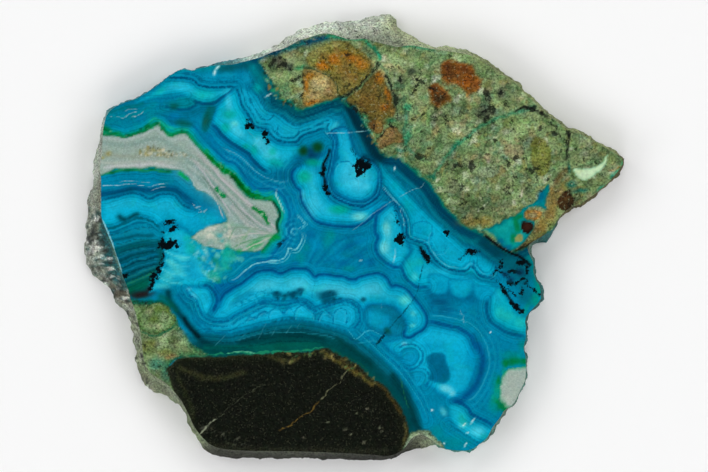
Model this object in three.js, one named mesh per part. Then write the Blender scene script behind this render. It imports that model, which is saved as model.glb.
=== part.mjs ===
// A polished slice of banded chrysocolla in breccia, cut from a rough nodule and lying on its sawn back.
// The slice is one stone. Its two cut faces are flat and parallel, and its side is the nodule's own
// broken surface, which leans outwards below the polished face where the rind was left on.
// Millimetres, +Z up, polished face on top. The origin is the middle of the base.

import * as THREE from 'three';
import { mergeGeometries, mergeVertices } from 'three/addons/utils/BufferGeometryUtils.js';
import { ImprovedNoise } from 'three/addons/math/ImprovedNoise.js';

// Driving dimensions
const THICKNESS = 6.5;
const RIM_SAMPLES = 330; // about one for each millimetre of the polished rim
const SIDE_STEPS = 7; // rows of facets between the polished face and the base
const NORMAL_REACH = 4; // samples each way that settle which way the side leans

// The rind's lumps
const LUMP_SIZE = 3.2;
const GRAIN_SIZE = 1.3;
const LEAST_LUMP = 0.16; // on a bare edge with no rind
const LUMP_PER_RIND = 0.14;
const GRAIN_SHARE = 0.55;
const FULL_LUMPS_TO = 0.8; // the depth past which the lumps no longer fade

// How much of the rind's width is reached at each depth, from the polished rim (0) to the base (1).
const LEAN = [
	[ 0, 0 ],
	[ 0.2, 0.3 ],
	[ 0.45, 0.66 ],
	[ 0.7, 0.9 ],
	[ 0.88, 1 ],
	[ 1, 0.95 ],
];

// The polished rim, clockwise as seen from above: x to the right, y down the drawing, and how far the
// rind stands out beyond the rim there.
const RIM = [
	// left end of the grey vein, going up
	[ 20.1, 35.6, 1.6 ], [ 19.9, 34.2, 1.7 ], [ 20.0, 32.8, 1.8 ], [ 20.2, 31.4, 1.7 ], [ 20.3, 30.2, 1.2 ],
	[ 20.4, 28.0, 0.8 ], [ 20.5, 26.0, 0.7 ], [ 20.8, 24.4, 0.6 ], [ 21.2, 23.0, 0.5 ], [ 21.8, 22.2, 0.6 ],
	// upper left, bare blue edge
	[ 22.6, 21.5, 0.3 ], [ 24.0, 20.8, 0.2 ], [ 25.4, 20.2, 0.2 ], [ 26.6, 19.9, 0.25 ], [ 27.8, 19.3, 0.15 ],
	[ 29.8, 18.1, 0.1 ], [ 31.4, 17.0, 0.1 ], [ 33.8, 15.1, 0.1 ], [ 35.2, 14.2, 0.1 ], [ 36.8, 13.8, 0.1 ],
	[ 38.4, 14.1, 0.1 ], [ 39.6, 13.6, 0.1 ], [ 41.0, 13.4, 0.1 ], [ 42.6, 13.0, 0.3 ], [ 44.2, 12.9, 0.7 ],
	// top, where pale rind leans out to its widest
	[ 46.4, 12.8, 1.2 ], [ 48.0, 12.4, 1.1 ], [ 50.0, 11.9, 1.0 ], [ 52.4, 11.2, 1.0 ], [ 54.4, 10.3, 1.0 ],
	[ 56.4, 9.7, 1.5 ], [ 58.2, 8.8, 1.8 ], [ 60.0, 7.9, 2.1 ], [ 62.0, 7.3, 2.3 ], [ 63.8, 6.7, 2.3 ],
	[ 65.6, 6.6, 2.6 ], [ 67.6, 7.1, 3.2 ], [ 69.2, 7.7, 3.8 ], [ 71.2, 7.8, 4.2 ], [ 72.8, 7.6, 4.5 ],
	[ 74.4, 8.1, 5.2 ], [ 76.0, 8.5, 5.9 ], [ 77.6, 8.9, 5.7 ], [ 79.2, 9.3, 4.3 ], [ 80.8, 9.1, 2.9 ],
	[ 82.6, 9.0, 1.7 ], [ 85.0, 9.5, 1.0 ], [ 87.2, 9.8, 0.7 ], [ 89.2, 10.1, 0.8 ], [ 91.2, 10.4, 1.0 ],
	// upper right, going down to the point
	[ 93.2, 10.8, 1.0 ], [ 94.8, 11.4, 0.9 ], [ 96.4, 12.2, 0.7 ], [ 97.8, 13.1, 0.7 ], [ 99.0, 14.0, 0.7 ],
	[ 100.0, 14.8, 0.7 ], [ 101.2, 15.3, 0.7 ], [ 102.2, 16.1, 0.6 ], [ 103.6, 17.0, 0.7 ], [ 104.2, 18.0, 0.6 ],
	[ 105.4, 19.2, 0.6 ], [ 106.6, 20.2, 0.7 ], [ 107.6, 21.4, 0.7 ], [ 109.2, 22.6, 0.6 ], [ 112.0, 24.8, 0.6 ],
	[ 113.2, 25.7, 0.6 ], [ 114.6, 26.2, 0.6 ], [ 116.2, 26.8, 0.6 ], [ 118.0, 27.9, 0.5 ], [ 121.6, 29.8, 0.5 ],
	[ 123.2, 30.8, 0.5 ], [ 124.2, 31.4, 0.5 ], [ 124.6, 32.2, 0.5 ], [ 124.2, 33.1, 0.4 ], [ 123.6, 34.0, 0.3 ],
	// under the point, back to the notch
	[ 122.8, 35.0, 0.3 ], [ 121.2, 36.8, 0.3 ], [ 120.0, 37.7, 0.3 ], [ 118.6, 38.9, 0.4 ], [ 117.2, 39.8, 0.4 ],
	[ 116.0, 40.8, 0.4 ], [ 114.6, 41.1, 0.4 ], [ 112.5, 42.5, 0.4 ], [ 111.2, 44.2, 0.4 ], [ 110.7, 45.4, 0.5 ],
	[ 110.0, 46.1, 0.7 ], [ 109.0, 46.7, 1.3 ], [ 108.2, 47.2, 1.7 ], [ 107.0, 47.9, 1.0 ], [ 105.8, 48.7, 0.8 ],
	[ 105.4, 49.6, 0.9 ], [ 105.8, 50.8, 0.7 ], [ 106.4, 52.0, 0.5 ], [ 106.7, 53.0, 0.4 ], [ 106.5, 53.8, 0.4 ],
	// right edge
	[ 106.8, 55.0, 0.4 ], [ 107.3, 56.4, 0.4 ], [ 107.9, 57.0, 0.6 ], [ 108.0, 58.2, 0.7 ], [ 108.1, 59.6, 0.7 ],
	[ 107.6, 60.4, 0.4 ], [ 106.0, 62.1, 0.4 ], [ 105.2, 63.1, 0.3 ], [ 104.9, 64.0, 0.3 ], [ 105.1, 65.2, 0.3 ],
	[ 105.0, 66.4, 0.3 ], [ 105.1, 67.2, 0.4 ], [ 104.6, 69.6, 0.3 ], [ 105.0, 71.2, 0.3 ], [ 104.9, 76.0, 0.3 ],
	[ 104.3, 77.2, 0.3 ], [ 102.4, 80.9, 0.4 ], [ 101.4, 81.5, 0.4 ], [ 100.6, 82.2, 0.4 ], [ 100.0, 83.3, 0.4 ],
	[ 98.4, 85.4, 0.5 ], [ 97.3, 87.5, 0.6 ], [ 96.4, 88.2, 0.3 ], [ 94.1, 89.8, 0.3 ], [ 90.4, 89.9, 0.2 ],
	[ 88.8, 89.6, 0.2 ], [ 87.6, 88.9, 0.3 ],
	// dent with grey rock, then the dark clast's long lower edge
	[ 86.4, 88.0, 1.3 ], [ 85.2, 87.2, 2.6 ], [ 83.8, 86.8, 3.2 ], [ 82.4, 87.4, 3.0 ], [ 81.4, 88.8, 1.8 ],
	[ 80.2, 90.0, 0.8 ], [ 78.8, 90.8, 0.8 ], [ 77.0, 91.1, 0.9 ], [ 75.0, 90.9, 1.2 ], [ 72.0, 90.7, 1.3 ],
	[ 68.0, 90.5, 1.5 ], [ 60.0, 90.2, 1.5 ], [ 52.0, 90.1, 1.7 ], [ 48.0, 90.0, 1.8 ], [ 45.6, 89.8, 1.8 ],
	[ 43.6, 89.5, 1.8 ], [ 41.8, 88.7, 1.7 ], [ 40.6, 87.6, 1.4 ], [ 39.4, 86.2, 1.0 ], [ 38.6, 85.0, 1.0 ],
	// lower left, going up, where the rind widens again
	[ 38.0, 83.6, 0.8 ], [ 36.8, 81.2, 0.9 ], [ 36.2, 80.1, 1.2 ], [ 35.2, 78.8, 1.7 ], [ 34.0, 77.4, 2.3 ],
	[ 32.6, 76.2, 3.0 ], [ 31.0, 75.2, 2.8 ], [ 29.8, 74.2, 2.0 ], [ 29.0, 72.8, 1.6 ], [ 28.6, 71.2, 1.6 ],
	[ 28.4, 69.6, 1.6 ], [ 28.2, 68.0, 2.0 ], [ 28.0, 66.6, 1.5 ], [ 27.7, 65.2, 1.9 ], [ 27.3, 63.6, 1.8 ],
	[ 26.8, 61.8, 2.0 ], [ 26.2, 60.2, 2.7 ], [ 25.8, 58.8, 3.7 ], [ 25.4, 57.4, 3.5 ], [ 24.8, 56.0, 3.8 ],
	[ 24.2, 54.4, 4.8 ], [ 23.6, 52.4, 5.6 ], [ 22.8, 50.0, 6.4 ], [ 22.0, 48.0, 6.0 ], [ 21.0, 45.6, 4.6 ],
	[ 20.2, 43.4, 3.2 ], [ 20.1, 41.6, 2.9 ], [ 20.1, 40.0, 3.0 ], [ 20.1, 38.4, 2.6 ], [ 20.1, 37.0, 2.0 ],
];

// The rim as evenly spaced samples, each with its place, the rind's width and the way the side faces.
function rimSamples() {

	const curve = new THREE.CatmullRomCurve3(
		RIM.map( ( [ x, y, rind ] ) => new THREE.Vector3( x, - y, rind ) ), true, 'centripetal' );
	const points = curve.getSpacedPoints( RIM_SAMPLES ).slice( 0, RIM_SAMPLES );

	return points.map( ( point, i ) => {

		const before = points[ ( i + RIM_SAMPLES - NORMAL_REACH ) % RIM_SAMPLES ];
		const after = points[ ( i + NORMAL_REACH ) % RIM_SAMPLES ];
		const along = new THREE.Vector2( after.x - before.x, after.y - before.y ).normalize();
		return {
			place: new THREE.Vector2( point.x, point.y ),
			rind: Math.max( point.z, 0 ),
			outward: new THREE.Vector2( - along.y, along.x ),
		};

	} );

}

// Straight-line interpolation in a list of [ input, output ] pairs.
function lookUp( pairs, value ) {

	const next = Math.max( 1, pairs.findIndex( ( [ input ] ) => input >= value ) );
	const [ x0, y0 ] = pairs[ next - 1 ];
	const [ x1, y1 ] = pairs[ next ];
	return y0 + ( y1 - y0 ) * ( value - x0 ) / ( x1 - x0 );

}

// The side's outline at a depth: the rim, moved out by the lean of the rind and by its lumps, which
// fade out at the polished face.
function outlineAt( depth, samples, noise ) {

	const level = depth * THICKNESS;
	const fade = Math.sin( Math.PI * Math.min( depth, FULL_LUMPS_TO ) );

	return samples.map( ( { place, rind, outward } ) => {

		const lump = noise.noise( place.x / LUMP_SIZE, place.y / LUMP_SIZE, level / LUMP_SIZE );
		const grain = noise.noise( place.x / GRAIN_SIZE, place.y / GRAIN_SIZE, level / GRAIN_SIZE );
		const roughness = ( LEAST_LUMP + LUMP_PER_RIND * rind ) * fade * ( lump + GRAIN_SHARE * grain );
		return place.clone().addScaledVector( outward, rind * lookUp( LEAN, depth ) + roughness );

	} );

}

// A cut face that fills an outline. The polished face looks up and the sawn base looks down.
function cutFace( outline, height, facesUp ) {

	const face = new THREE.ShapeGeometry( new THREE.Shape( outline ) );
	face.translate( 0, 0, height );
	if ( ! facesUp ) face.index.array.reverse();
	return face;

}

// The side, a sheet of facets wrapped once round the slice, with a row of corners on each outline.
function sideSheet( outlines ) {

	const sheet = new THREE.PlaneGeometry( 1, 1, RIM_SAMPLES, SIDE_STEPS );
	const position = sheet.getAttribute( 'position' );
	for ( let i = 0; i < position.count; i ++ ) {

		const row = Math.floor( i / ( RIM_SAMPLES + 1 ) );
		const column = i % ( RIM_SAMPLES + 1 );
		const corner = outlines[ row ][ ( RIM_SAMPLES - column ) % RIM_SAMPLES ];
		position.setXYZ( i, corner.x, corner.y, THICKNESS * ( 1 - row / SIDE_STEPS ) );

	}
	return sheet;

}

function sliceGeometry() {

	const samples = rimSamples();
	const noise = new ImprovedNoise();
	const outlines = [];
	for ( let row = 0; row <= SIDE_STEPS; row ++ ) {

		outlines.push( outlineAt( row / SIDE_STEPS, samples, noise ) );

	}

	const shell = mergeGeometries( [
		cutFace( outlines[ 0 ], THICKNESS, true ),
		sideSheet( outlines ),
		cutFace( outlines[ SIDE_STEPS ], 0, false ),
	] );
	shell.deleteAttribute( 'normal' );
	shell.deleteAttribute( 'uv' );
	const geometry = mergeVertices( shell );

	geometry.computeBoundingBox();
	const middle = geometry.boundingBox.getCenter( new THREE.Vector3() );
	geometry.translate( - middle.x, - middle.y, 0 );
	geometry.computeVertexNormals();
	return geometry;

}

function sliceMaterial() {

	return new THREE.MeshStandardMaterial( { color: 0x1489a6, roughness: 0.25, metalness: 0 } );

}

const slice = new THREE.Mesh( sliceGeometry(), sliceMaterial() );
slice.name = 'chrysocolla_slice';

const group = new THREE.Group();
group.add( slice );

export default group;
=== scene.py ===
# The finish of a polished slice of banded chrysocolla: its banded blue lobes, the grey chalcedony vein,
# the green breccia with its orange and brick-red pieces, the dark clast and the broken rind.
# The slice is one stone, so one fine mesh stands for it. What is drawn on its faces is traced as
# outlines and lines in drawing units, and the material adds the grain, the sheen and the roughness.

import math

import bmesh
import bpy
import numpy as np
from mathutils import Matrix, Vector
from mathutils.noise import fractal


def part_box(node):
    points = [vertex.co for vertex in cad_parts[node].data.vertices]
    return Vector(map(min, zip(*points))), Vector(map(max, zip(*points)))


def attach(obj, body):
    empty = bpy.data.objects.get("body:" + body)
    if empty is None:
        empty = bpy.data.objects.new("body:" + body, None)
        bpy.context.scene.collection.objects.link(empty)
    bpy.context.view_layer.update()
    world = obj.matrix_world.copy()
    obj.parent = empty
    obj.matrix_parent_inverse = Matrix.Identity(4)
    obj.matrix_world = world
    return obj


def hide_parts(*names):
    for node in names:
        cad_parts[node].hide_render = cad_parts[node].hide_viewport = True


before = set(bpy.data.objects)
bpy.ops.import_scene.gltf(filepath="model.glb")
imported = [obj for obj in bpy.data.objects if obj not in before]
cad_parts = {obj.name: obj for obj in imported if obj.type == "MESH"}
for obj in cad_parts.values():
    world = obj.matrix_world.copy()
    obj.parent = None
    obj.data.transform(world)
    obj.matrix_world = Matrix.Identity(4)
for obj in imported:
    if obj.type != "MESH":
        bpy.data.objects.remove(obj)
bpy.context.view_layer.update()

NODE = "chrysocolla_slice"
PIECE = "banded_stone"


# The drawing that the pattern is traced in: one unit is 0.2 mm, x to the right and y down, and its middle
# is the part's origin.
DRAWING_UNIT = 0.0002
DRAWING_MIDDLE = (353.6, 236.7)


# Drawing by distance: how far each place of the stone is from a traced outline or line

FAR = 240.0
CHUNK = 12
CURVE_STEPS = 4
LINE_REACH = 4.0
WIDE_LINE = 2.3
SOFT_EDGE = 1.3
GROWTH_REACH = 14.0
LINE_KINDS = ("dark", "pale", "soot")
# An ink whose red, green and blue add up to less than this is soot, or is dark
SOOT_BELOW = 90
DARK_BELOW = 330
# The growth layers follow the lines that are at least this wide and have an ink in this range
LEAST_BAND = 1.4
BAND_INK = (90, 260)
NOISE_TABLE = 64


def smooth_curve(text, closed=False):
    """A smooth curve through the traced points, as a chain of short straight steps."""
    p = np.array([[float(v) for v in pair.split(",")] for pair in text.split()])
    if len(p) < 3:
        return p
    if closed:
        p = np.vstack([p[-1], p, p[:2]])
    else:
        p = np.vstack([2 * p[0] - p[1], p, 2 * p[-1] - p[-2]])
    a, b, c, d = p[:-3], p[1:-2], p[2:-1], p[3:]
    out = []
    for t in np.arange(CURVE_STEPS) / CURVE_STEPS:
        out.append(0.5 * (2 * b + (c - a) * t + (2 * a - 5 * b + 4 * c - d) * t * t
                          + (3 * b - a - 3 * c + d) * t ** 3))
    return np.vstack([np.stack(out, 1).reshape(-1, 2), c[-1]])


def track(chain, xy, reach):
    """For each place: its distance from the chain, its side (1 to the right of travel) and how far
    along the chain it is. Exact up to reach."""
    distance = np.full(len(xy), FAR)
    side = np.ones(len(xy))
    run = np.zeros(len(xy))
    steps = chain[1:] - chain[:-1]
    lengths = np.sqrt((steps ** 2).sum(1))
    starts = np.concatenate([[0], np.cumsum(lengths)])
    for first in range(0, len(steps), CHUNK):
        part = slice(first, first + CHUNK)
        ends = chain[first:first + CHUNK + 1]
        low, high = ends.min(0) - reach, ends.max(0) + reach
        near = np.flatnonzero(((xy > low) & (xy < high)).all(1))
        if not len(near):
            continue
        step = steps[part]
        offset = xy[near, None] - chain[part][:len(step)]
        along = np.clip((offset * step).sum(2) / np.maximum(lengths[part] ** 2, 1e-12), 0, 1)
        gap = ((offset - along[..., None] * step) ** 2).sum(2)
        best = gap.argmin(1)
        rows = np.arange(len(near))
        closest = np.sqrt(gap[rows, best])
        better = closest < distance[near]
        pick, rows, best = near[better], rows[better], best[better]
        distance[pick] = closest[better]
        cross = step[best, 0] * offset[rows, best, 1] - step[best, 1] * offset[rows, best, 0]
        side[pick] = np.where(cross >= 0, 1, -1)
        run[pick] = starts[first + best] + along[rows, best] * lengths[first + best]
    return distance, side, run, starts[-1]


def is_inside(chain, xy):
    """Whether each place is inside a closed chain."""
    low, high = chain.min(0), chain.max(0)
    near = np.flatnonzero(((xy > low) & (xy < high)).all(1))
    inside = np.zeros(len(xy), bool)
    x, y = xy[near, 0], xy[near, 1]
    odd = np.zeros(len(near), bool)
    for (x0, y0), (x1, y1) in zip(chain[:-1], chain[1:]):
        if y0 != y1:
            odd ^= ((y0 <= y) != (y1 <= y)) & (x < x0 + (y - y0) * (x1 - x0) / (y1 - y0))
    inside[near] = odd
    return inside


def near_to(xy, middle, reach):
    """Which places are in the square of that reach around a middle."""
    return np.flatnonzero((np.abs(xy - middle) < reach).all(1))


def depth_inside(text, xy, reach):
    """Signed distance from a closed outline: positive inside it."""
    chain = smooth_curve(text, True)
    distance = track(chain, xy, reach)[0]
    return np.where(is_inside(chain, xy), distance, -distance)


def soft_step(x):
    x = np.clip(x, 0, 1)
    return x * x * (3 - 2 * x)


def cover(text, xy, reach, soft=2):
    """1 inside a closed outline and 0 outside it, with a soft edge."""
    return soft_step(0.5 + depth_inside(text, xy, reach) / soft)


def stripe(gap, width):
    """1 within a soft-edged stripe and 0 beyond it."""
    return soft_step((width / 2 + SOFT_EDGE / 2 - gap) / SOFT_EDGE)


def value_noise(xy, size, seed, octaves=3):
    """Smooth seeded noise from -1 to 1, with lumps of the given size."""
    total, weight, strength = 0, 0, 1
    for octave in range(octaves):
        table = np.random.default_rng(seed + octave).uniform(-1, 1, (NOISE_TABLE, NOISE_TABLE))
        place = xy / size * 2 ** octave + 1000
        cell = np.floor(place).astype(int)
        u, v = soft_step(place[:, 0] - cell[:, 0]), soft_step(place[:, 1] - cell[:, 1])
        x0, y0 = (cell % NOISE_TABLE).T
        x1, y1 = (x0 + 1) % NOISE_TABLE, (y0 + 1) % NOISE_TABLE
        upper = table[x0, y0] * (1 - u) + table[x1, y0] * u
        lower = table[x0, y1] * (1 - u) + table[x1, y1] * u
        total = total + strength * (upper * (1 - v) + lower * v)
        weight += strength
        strength /= 2
    return total / weight


class Face:
    """The look of every place on the stone: coats of colour, and thin dark and pale lines kept as a distance
    from the line and an ink, so that the material can draw them sharply between the mesh's points."""

    def __init__(self, xy, ground):
        self.xy = xy
        self.colour = np.tile(np.array(ground, float), (len(xy), 1))
        self.gaps = {kind: np.full(len(xy), LINE_REACH) for kind in LINE_KINDS}
        self.inks = {kind: np.zeros((len(xy), 4)) for kind in LINE_KINDS}
        self.growth = np.full(len(xy), GROWTH_REACH)

    def lay(self, amount, colour):
        amount = np.clip(np.broadcast_to(amount, len(self.xy)), 0, 1)[:, None]
        self.colour += amount * (np.asarray(colour, float) - self.colour)
        for ink in self.inks.values():
            ink[:, 3:] *= 1 - amount

    def draw(self, gap, strength, colour):
        """A thin line or a sharp spot: gap is the distance from its edge, below 0 inside it."""
        kind = "soot" if sum(colour) < SOOT_BELOW else "dark" if sum(colour) < DARK_BELOW else "pale"
        gaps, ink = self.gaps[kind], self.inks[kind]
        held = np.where(ink[:, 3] > 0.05, gaps, LINE_REACH)
        nearer = (gap < held) & (gap < LINE_REACH)
        gaps[nearer] = gap[nearer]
        ink[nearer, :3] = colour
        ink[nearer, 3] = np.broadcast_to(strength, len(gap))[nearer]

    def by_depth(self, depth, stops, amount):
        """Colours by depth. stops are (depth, colour), shallowest first."""
        at = [s[0] for s in stops]
        colours = np.array([s[1] for s in stops], float)
        self.lay(amount, np.stack([np.interp(depth, at, colours[:, i]) for i in range(3)], 1))

    def fill(self, text, *stops, soft=1.2, strength=1.0):
        """Fills an outline with a colour, or with colours by depth from its edge."""
        stops = stops if len(stops[0]) == 2 else [(0, stops[0])]
        depth = depth_inside(text, self.xy, stops[-1][0] + soft + 1)
        self.by_depth(depth, stops, strength * soft_step(0.5 + depth / soft))

    def stroke(self, text, width, colour, strength=1.0, closed=False, taper=5):
        """One line along a traced one."""
        self.lines(text, (0, width, colour, strength), closed=closed, taper=taper)

    def lines(self, text, *rows, closed=False, taper=5):
        """Parallel lines: rows of (offset, width, colour, strength), positive offsets right of travel."""
        chain = smooth_curve(text, closed)
        reach = max(abs(row[0]) + row[1] for row in rows) + LINE_REACH
        banded = any(row[1] > LEAST_BAND and BAND_INK[0] < sum(row[2]) < BAND_INK[1] for row in rows)
        distance, side, run, length = track(chain, self.xy, max(reach, GROWTH_REACH) if banded else reach)
        if banded:
            self.growth = np.minimum(self.growth, distance)
        ends = 1 if closed else soft_step(run / taper + 0.15) * soft_step((length - run) / taper + 0.15)
        beyond = 0 if closed else ((run <= 0) | (run >= length)) * 1.0
        for offset, width, colour, strength in rows:
            gap = np.abs(distance * side - offset) + beyond * abs(offset)
            if width > WIDE_LINE:
                self.lay(strength * ends * stripe(gap, width), colour)
            else:
                self.draw(gap - width / 2, strength * ends, colour)

    def haze(self, text, width, colour, strength=1.0, closed=False):
        """A soft, wide stroke with no edge."""
        distance = track(smooth_curve(text, closed), self.xy, width * 2)[0]
        self.lay(strength * np.exp(-2 * (distance / width) ** 2), colour)

    def patches(self, colour, rows, strength=0.8):
        """Soft blots: rows of x, y, half width, half height and turn in degrees."""
        for row in rows.split(";"):
            x, y, rx, ry, *turn = [float(v) for v in row.split()]
            angle = np.radians(turn[0] if turn else 0)
            c, s = np.cos(angle), np.sin(angle)
            dx, dy = self.xy[:, 0] - x, self.xy[:, 1] - y
            u, v = (dx * c + dy * s) / rx, (dy * c - dx * s) / ry
            self.lay(strength * np.exp(-(u * u + v * v) ** 1.5), colour)

    def mosaic(self, colours, count, seed, outline, sizes, strength):
        """Strews ragged grains of mixed colours inside an outline. sizes are the least and most radius."""
        rng = np.random.default_rng(seed)
        chain = smooth_curve(outline, True)
        low, high = chain.min(0), chain.max(0)
        near = np.flatnonzero(((self.xy > low - 4) & (self.xy < high + 4)).all(1))
        place = self.xy[near]
        ragged = value_noise(place, 2.6, seed, 2)
        centres = rng.uniform(low, high, (count * 3, 2))
        centres = centres[is_inside(chain, centres)][:count]
        for x, y in centres:
            radius = sizes[0] + (sizes[1] - sizes[0]) * rng.random() ** 2
            stretch, turn = rng.uniform(1, 2), rng.uniform(0, np.pi)
            some = near_to(place, (x, y), radius * 3)
            dx, dy = place[some, 0] - x, place[some, 1] - y
            u = (dx * np.cos(turn) + dy * np.sin(turn)) / stretch
            v = dy * np.cos(turn) - dx * np.sin(turn)
            gap = np.hypot(u, v) + 0.5 * radius * ragged[some] - radius
            amount = strength * soft_step(0.5 - gap / 1.2)[:, None]
            pick = near[some]
            ink = np.array(colours[rng.integers(len(colours))], float)
            self.colour[pick] += amount * (ink - self.colour[pick])

    def blots(self, colour, rows, strength=0.95, ragged=0.35, seed=1):
        """Sharp, ragged spots: rows of x, y, radius and how much wider than high."""
        for i, row in enumerate(rows.split(";")):
            x, y, radius, *stretch = [float(v) for v in row.split()]
            gap = np.full(len(self.xy), LINE_REACH)
            reach = radius * 2.2 + LINE_REACH
            near = near_to(self.xy, (x, y), reach * 2)
            place = self.xy[near]
            d = np.hypot((place[:, 0] - x) / (stretch[0] if stretch else 1), place[:, 1] - y)
            gap[near] = d + ragged * radius * value_noise(place, 3.2, seed + i * 7, 2) * 1.6 - radius
            self.draw(gap, strength, colour)


# Inks, as they look in daylight, from 0 to 255

PALE = (120, 212, 222)
BRIGHT = (12, 168, 200)
BLUE = (0, 148, 184)
MID = (0, 128, 163)
DEEP = (0, 104, 140)
NAVY = (0, 66, 104)
SOOT = (6, 14, 18)
MALACHITE = (0, 118, 52)


# Outlines of the zones, traced: x to the right, y down

CONTACT = ("258,50 260,62 270,80 277,87 279,96 280,99 290,100 299,108 312,105 335,97 343,96 353,101 "
    "361,116 369,129 378,148 381,153 390,155 399,155 407,163 419,174 432,185 444,205 455,217 466,226 "
    "480,232 493,242 505,250 512,251 520,248 533,241 541,236 552,230")
BRECCIA = CONTACT + " 700,200 640,20 260,-20"
BRECCIA_PART = ("262,58 300,42 350,34 400,40 450,50 500,80 560,115 600,140 632,160 610,185 575,205 "
    "552,232 530,250 505,250 480,232 455,217 437,192 407,163 381,153 365,123 343,96 312,105 290,99 "
    "277,87")
WEDGE = ("480,230 486,228 497,223 505,218 514,215 524,206 537,198 546,185 548,182 549,186 547,195 "
    "546,205 545,210 540,207 530,206 524,214 528,219 535,222 531,232 524,242 517,248 510,250 503,247 "
    "497,241 484,232")
VEIN_TOP = ("88,131 100,134 112,135 124,137 145,131 155,125 160,126 167,135 171,136 175,134 182,133 "
    "187,135 194,144 218,169 224,173 229,174 237,186 248,197 254,199 268,200 272,201 275,206 278,215 "
    "276,220 275,226 277,232 272,236 264,246 262,249")
VEIN_FOOT = ("256,251 248,251 237,251 227,247 222,249 206,246 195,240 190,237 193,235 206,227 222,222 "
    "227,220 223,210 209,194 199,190 195,188 188,176 184,173 179,170 158,168 152,166 140,169 133,168 "
    "120,169 115,168 110,171 100,175 88,176")
VEIN = VEIN_TOP + " " + VEIN_FOOT
BLACK_TOP = ("170,365 180,358 205,356 230,356 250,354 270,353 283,351 300,352 312,351 325,348 336,353 "
    "350,361 358,365 372,378 385,386 400,407 407,425 408,435 405,445 402,451")
BLACK = BLACK_TOP + " 395,475 205,475 195,437 190,430 184,412 176,395 166,372"
HOST = ("128,298 150,301 160,302 168,307 176,318 180,327 190,341 205,352 205,356 180,358 170,364 "
    "172,372 190,415 196,430 180,450 120,420 110,300")
HOST_CLAST = ("137,318 140,311 145,306 152,303 160,303 171,312 175,318 174,323 163,331 155,333 140,329")
GREY_PATCH = "527,367 510,368 503,372 498,390 499,398 503,404 508,408 540,412 545,365"
SWOOSH = ("572,170 575,167 585,168 599,164 604,158 608,155 601,169 586,179 579,178 575,175")
PEBBLE = "525,212 529,209 536,209 541,212 541,216 536,219 529,219 525,216"
PALE_DENT = "408,434 414,431 424,430 432,434 438,440 444,446 440,456 404,456"

UPPER_LIGHT = ("132,103 142,97 160,85 166,81 175,80 193,83 199,87 206,89 226,88 231,87 226,93 213,102 "
    "198,102 191,98 176,94 146,100")
U2 = ("235,87 230,91 218,103 212,119 213,126 219,131 225,138 241,149 247,152 251,158 268,172 285,171 "
    "298,160 303,154 302,148 297,144 281,143 274,141 270,137 267,132 256,128 252,124 246,113 243,109 "
    "238,92")
SUB_LOBES = ("238,86 246,88 254,91 266,107 279,114 292,123 299,124 306,121 324,117 331,117 336,121 "
    "331,133 325,128 317,131 303,135 298,140 290,142 273,138 266,128 258,127 252,123 248,115 241,103 "
    "240,96")
U5_COLLAR = ("328,134 334,128 348,128 355,148 362,156 371,160 379,168 382,178 378,196 366,205 347,204 "
    "332,196 326,183 326,174 330,158 332,143 330,138")
U5 = ("336,131 342,130 348,133 354,151 361,158 369,162 375,168 378,177 373,193 367,198 360,200 352,199 "
    "338,192 332,177 334,163 338,158 337,151 338,144 337,138")
U6 = ("297,166 293,172 293,179 296,186 300,190 304,205 314,218 321,222 333,224 355,225 369,218 373,213 "
    "384,204 389,201 384,199 379,200 365,208 346,207 331,199 324,184 324,166 327,157 328,150 315,160 "
    "307,162")
U7 = ("391,203 379,213 375,226 376,232 379,238 377,244 378,251 382,257 394,265 400,265 405,258 410,250 "
    "404,235 400,218 397,211")
U8 = ("402,265 411,250 409,243 414,243 418,247 421,253 431,262 446,270 485,281 499,292 503,300 498,300 "
    "480,293 470,291 431,287 414,284 408,279 404,273")
RIGHT_LIGHT = ("379,163 386,169 412,197 432,217 459,241 466,248 466,254 476,254 486,258 493,265 496,273 "
    "490,279 478,277 470,273 445,268 431,256 427,248 413,241 409,234 407,214 396,200 384,187 382,178")
BASIN = ("303,218 309,222 325,229 352,229 362,227 369,224 372,228 373,236 372,244 378,258 392,268 "
    "398,272 400,278 396,281 390,279 386,274 378,270 358,272 352,275 343,273 318,270 312,270 300,264 "
    "292,264 287,262 292,256 303,238 303,228")
M1 = ("220,303 225,294 240,285 257,272 271,271 281,274 292,269 306,270 314,277 318,275 326,275 342,277 "
    "349,280 355,280 359,277 374,274 381,275 385,278 391,286 397,286 409,293 424,313 424,326 414,334 "
    "408,336 404,334 406,328 405,320 401,313 395,308 387,305 371,304 365,307 361,311 359,306 354,301 "
    "347,299 326,303 315,307 311,303 300,299 286,301 264,300 250,307 243,310 229,318 221,320 208,316 "
    "214,312 218,307")
CURL = "186,289 193,286 206,287 212,298 210,311 205,314 200,310 196,303 190,297"
SMALL_LOBES = ("262,306 270,304 277,305 283,308 290,304 298,302 305,304 311,309 326,305 343,301 350,302 "
    "355,306 358,313 357,320 353,326 346,329 338,326 315,322 300,318 287,317 262,322 238,328 214,331 "
    "204,329 198,325 204,322 214,325 226,323 250,311")
R1 = ("363,312 368,306 377,303 386,304 394,308 400,314 404,321 405,328 401,334 394,336 386,335 370,329 "
    "365,323")
R1_CORE = "367,312 372,309 387,313 390,319 388,325 382,329 369,325 366,319"
R5 = ("400,338 419,332 426,326 433,324 450,329 459,331 466,336 470,343 472,351 476,364 468,386 456,398 "
    "450,400 444,398 437,394 431,388 424,384 416,374 404,362 392,352 382,343 390,340")
R4 = ("425,359 428,354 433,352 440,352 445,355 446,361 450,374 448,380 442,383 428,379 430,372 428,366")
R9 = ("448,405 455,403 462,404 467,409 470,416 476,421 486,425 493,428 486,438 476,442 466,436 456,427 "
    "448,416")
RIGHT_LOBE = ("490,296 497,287 503,291 514,307 521,314 530,318 530,334 514,332 497,324 491,316 489,306")
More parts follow.
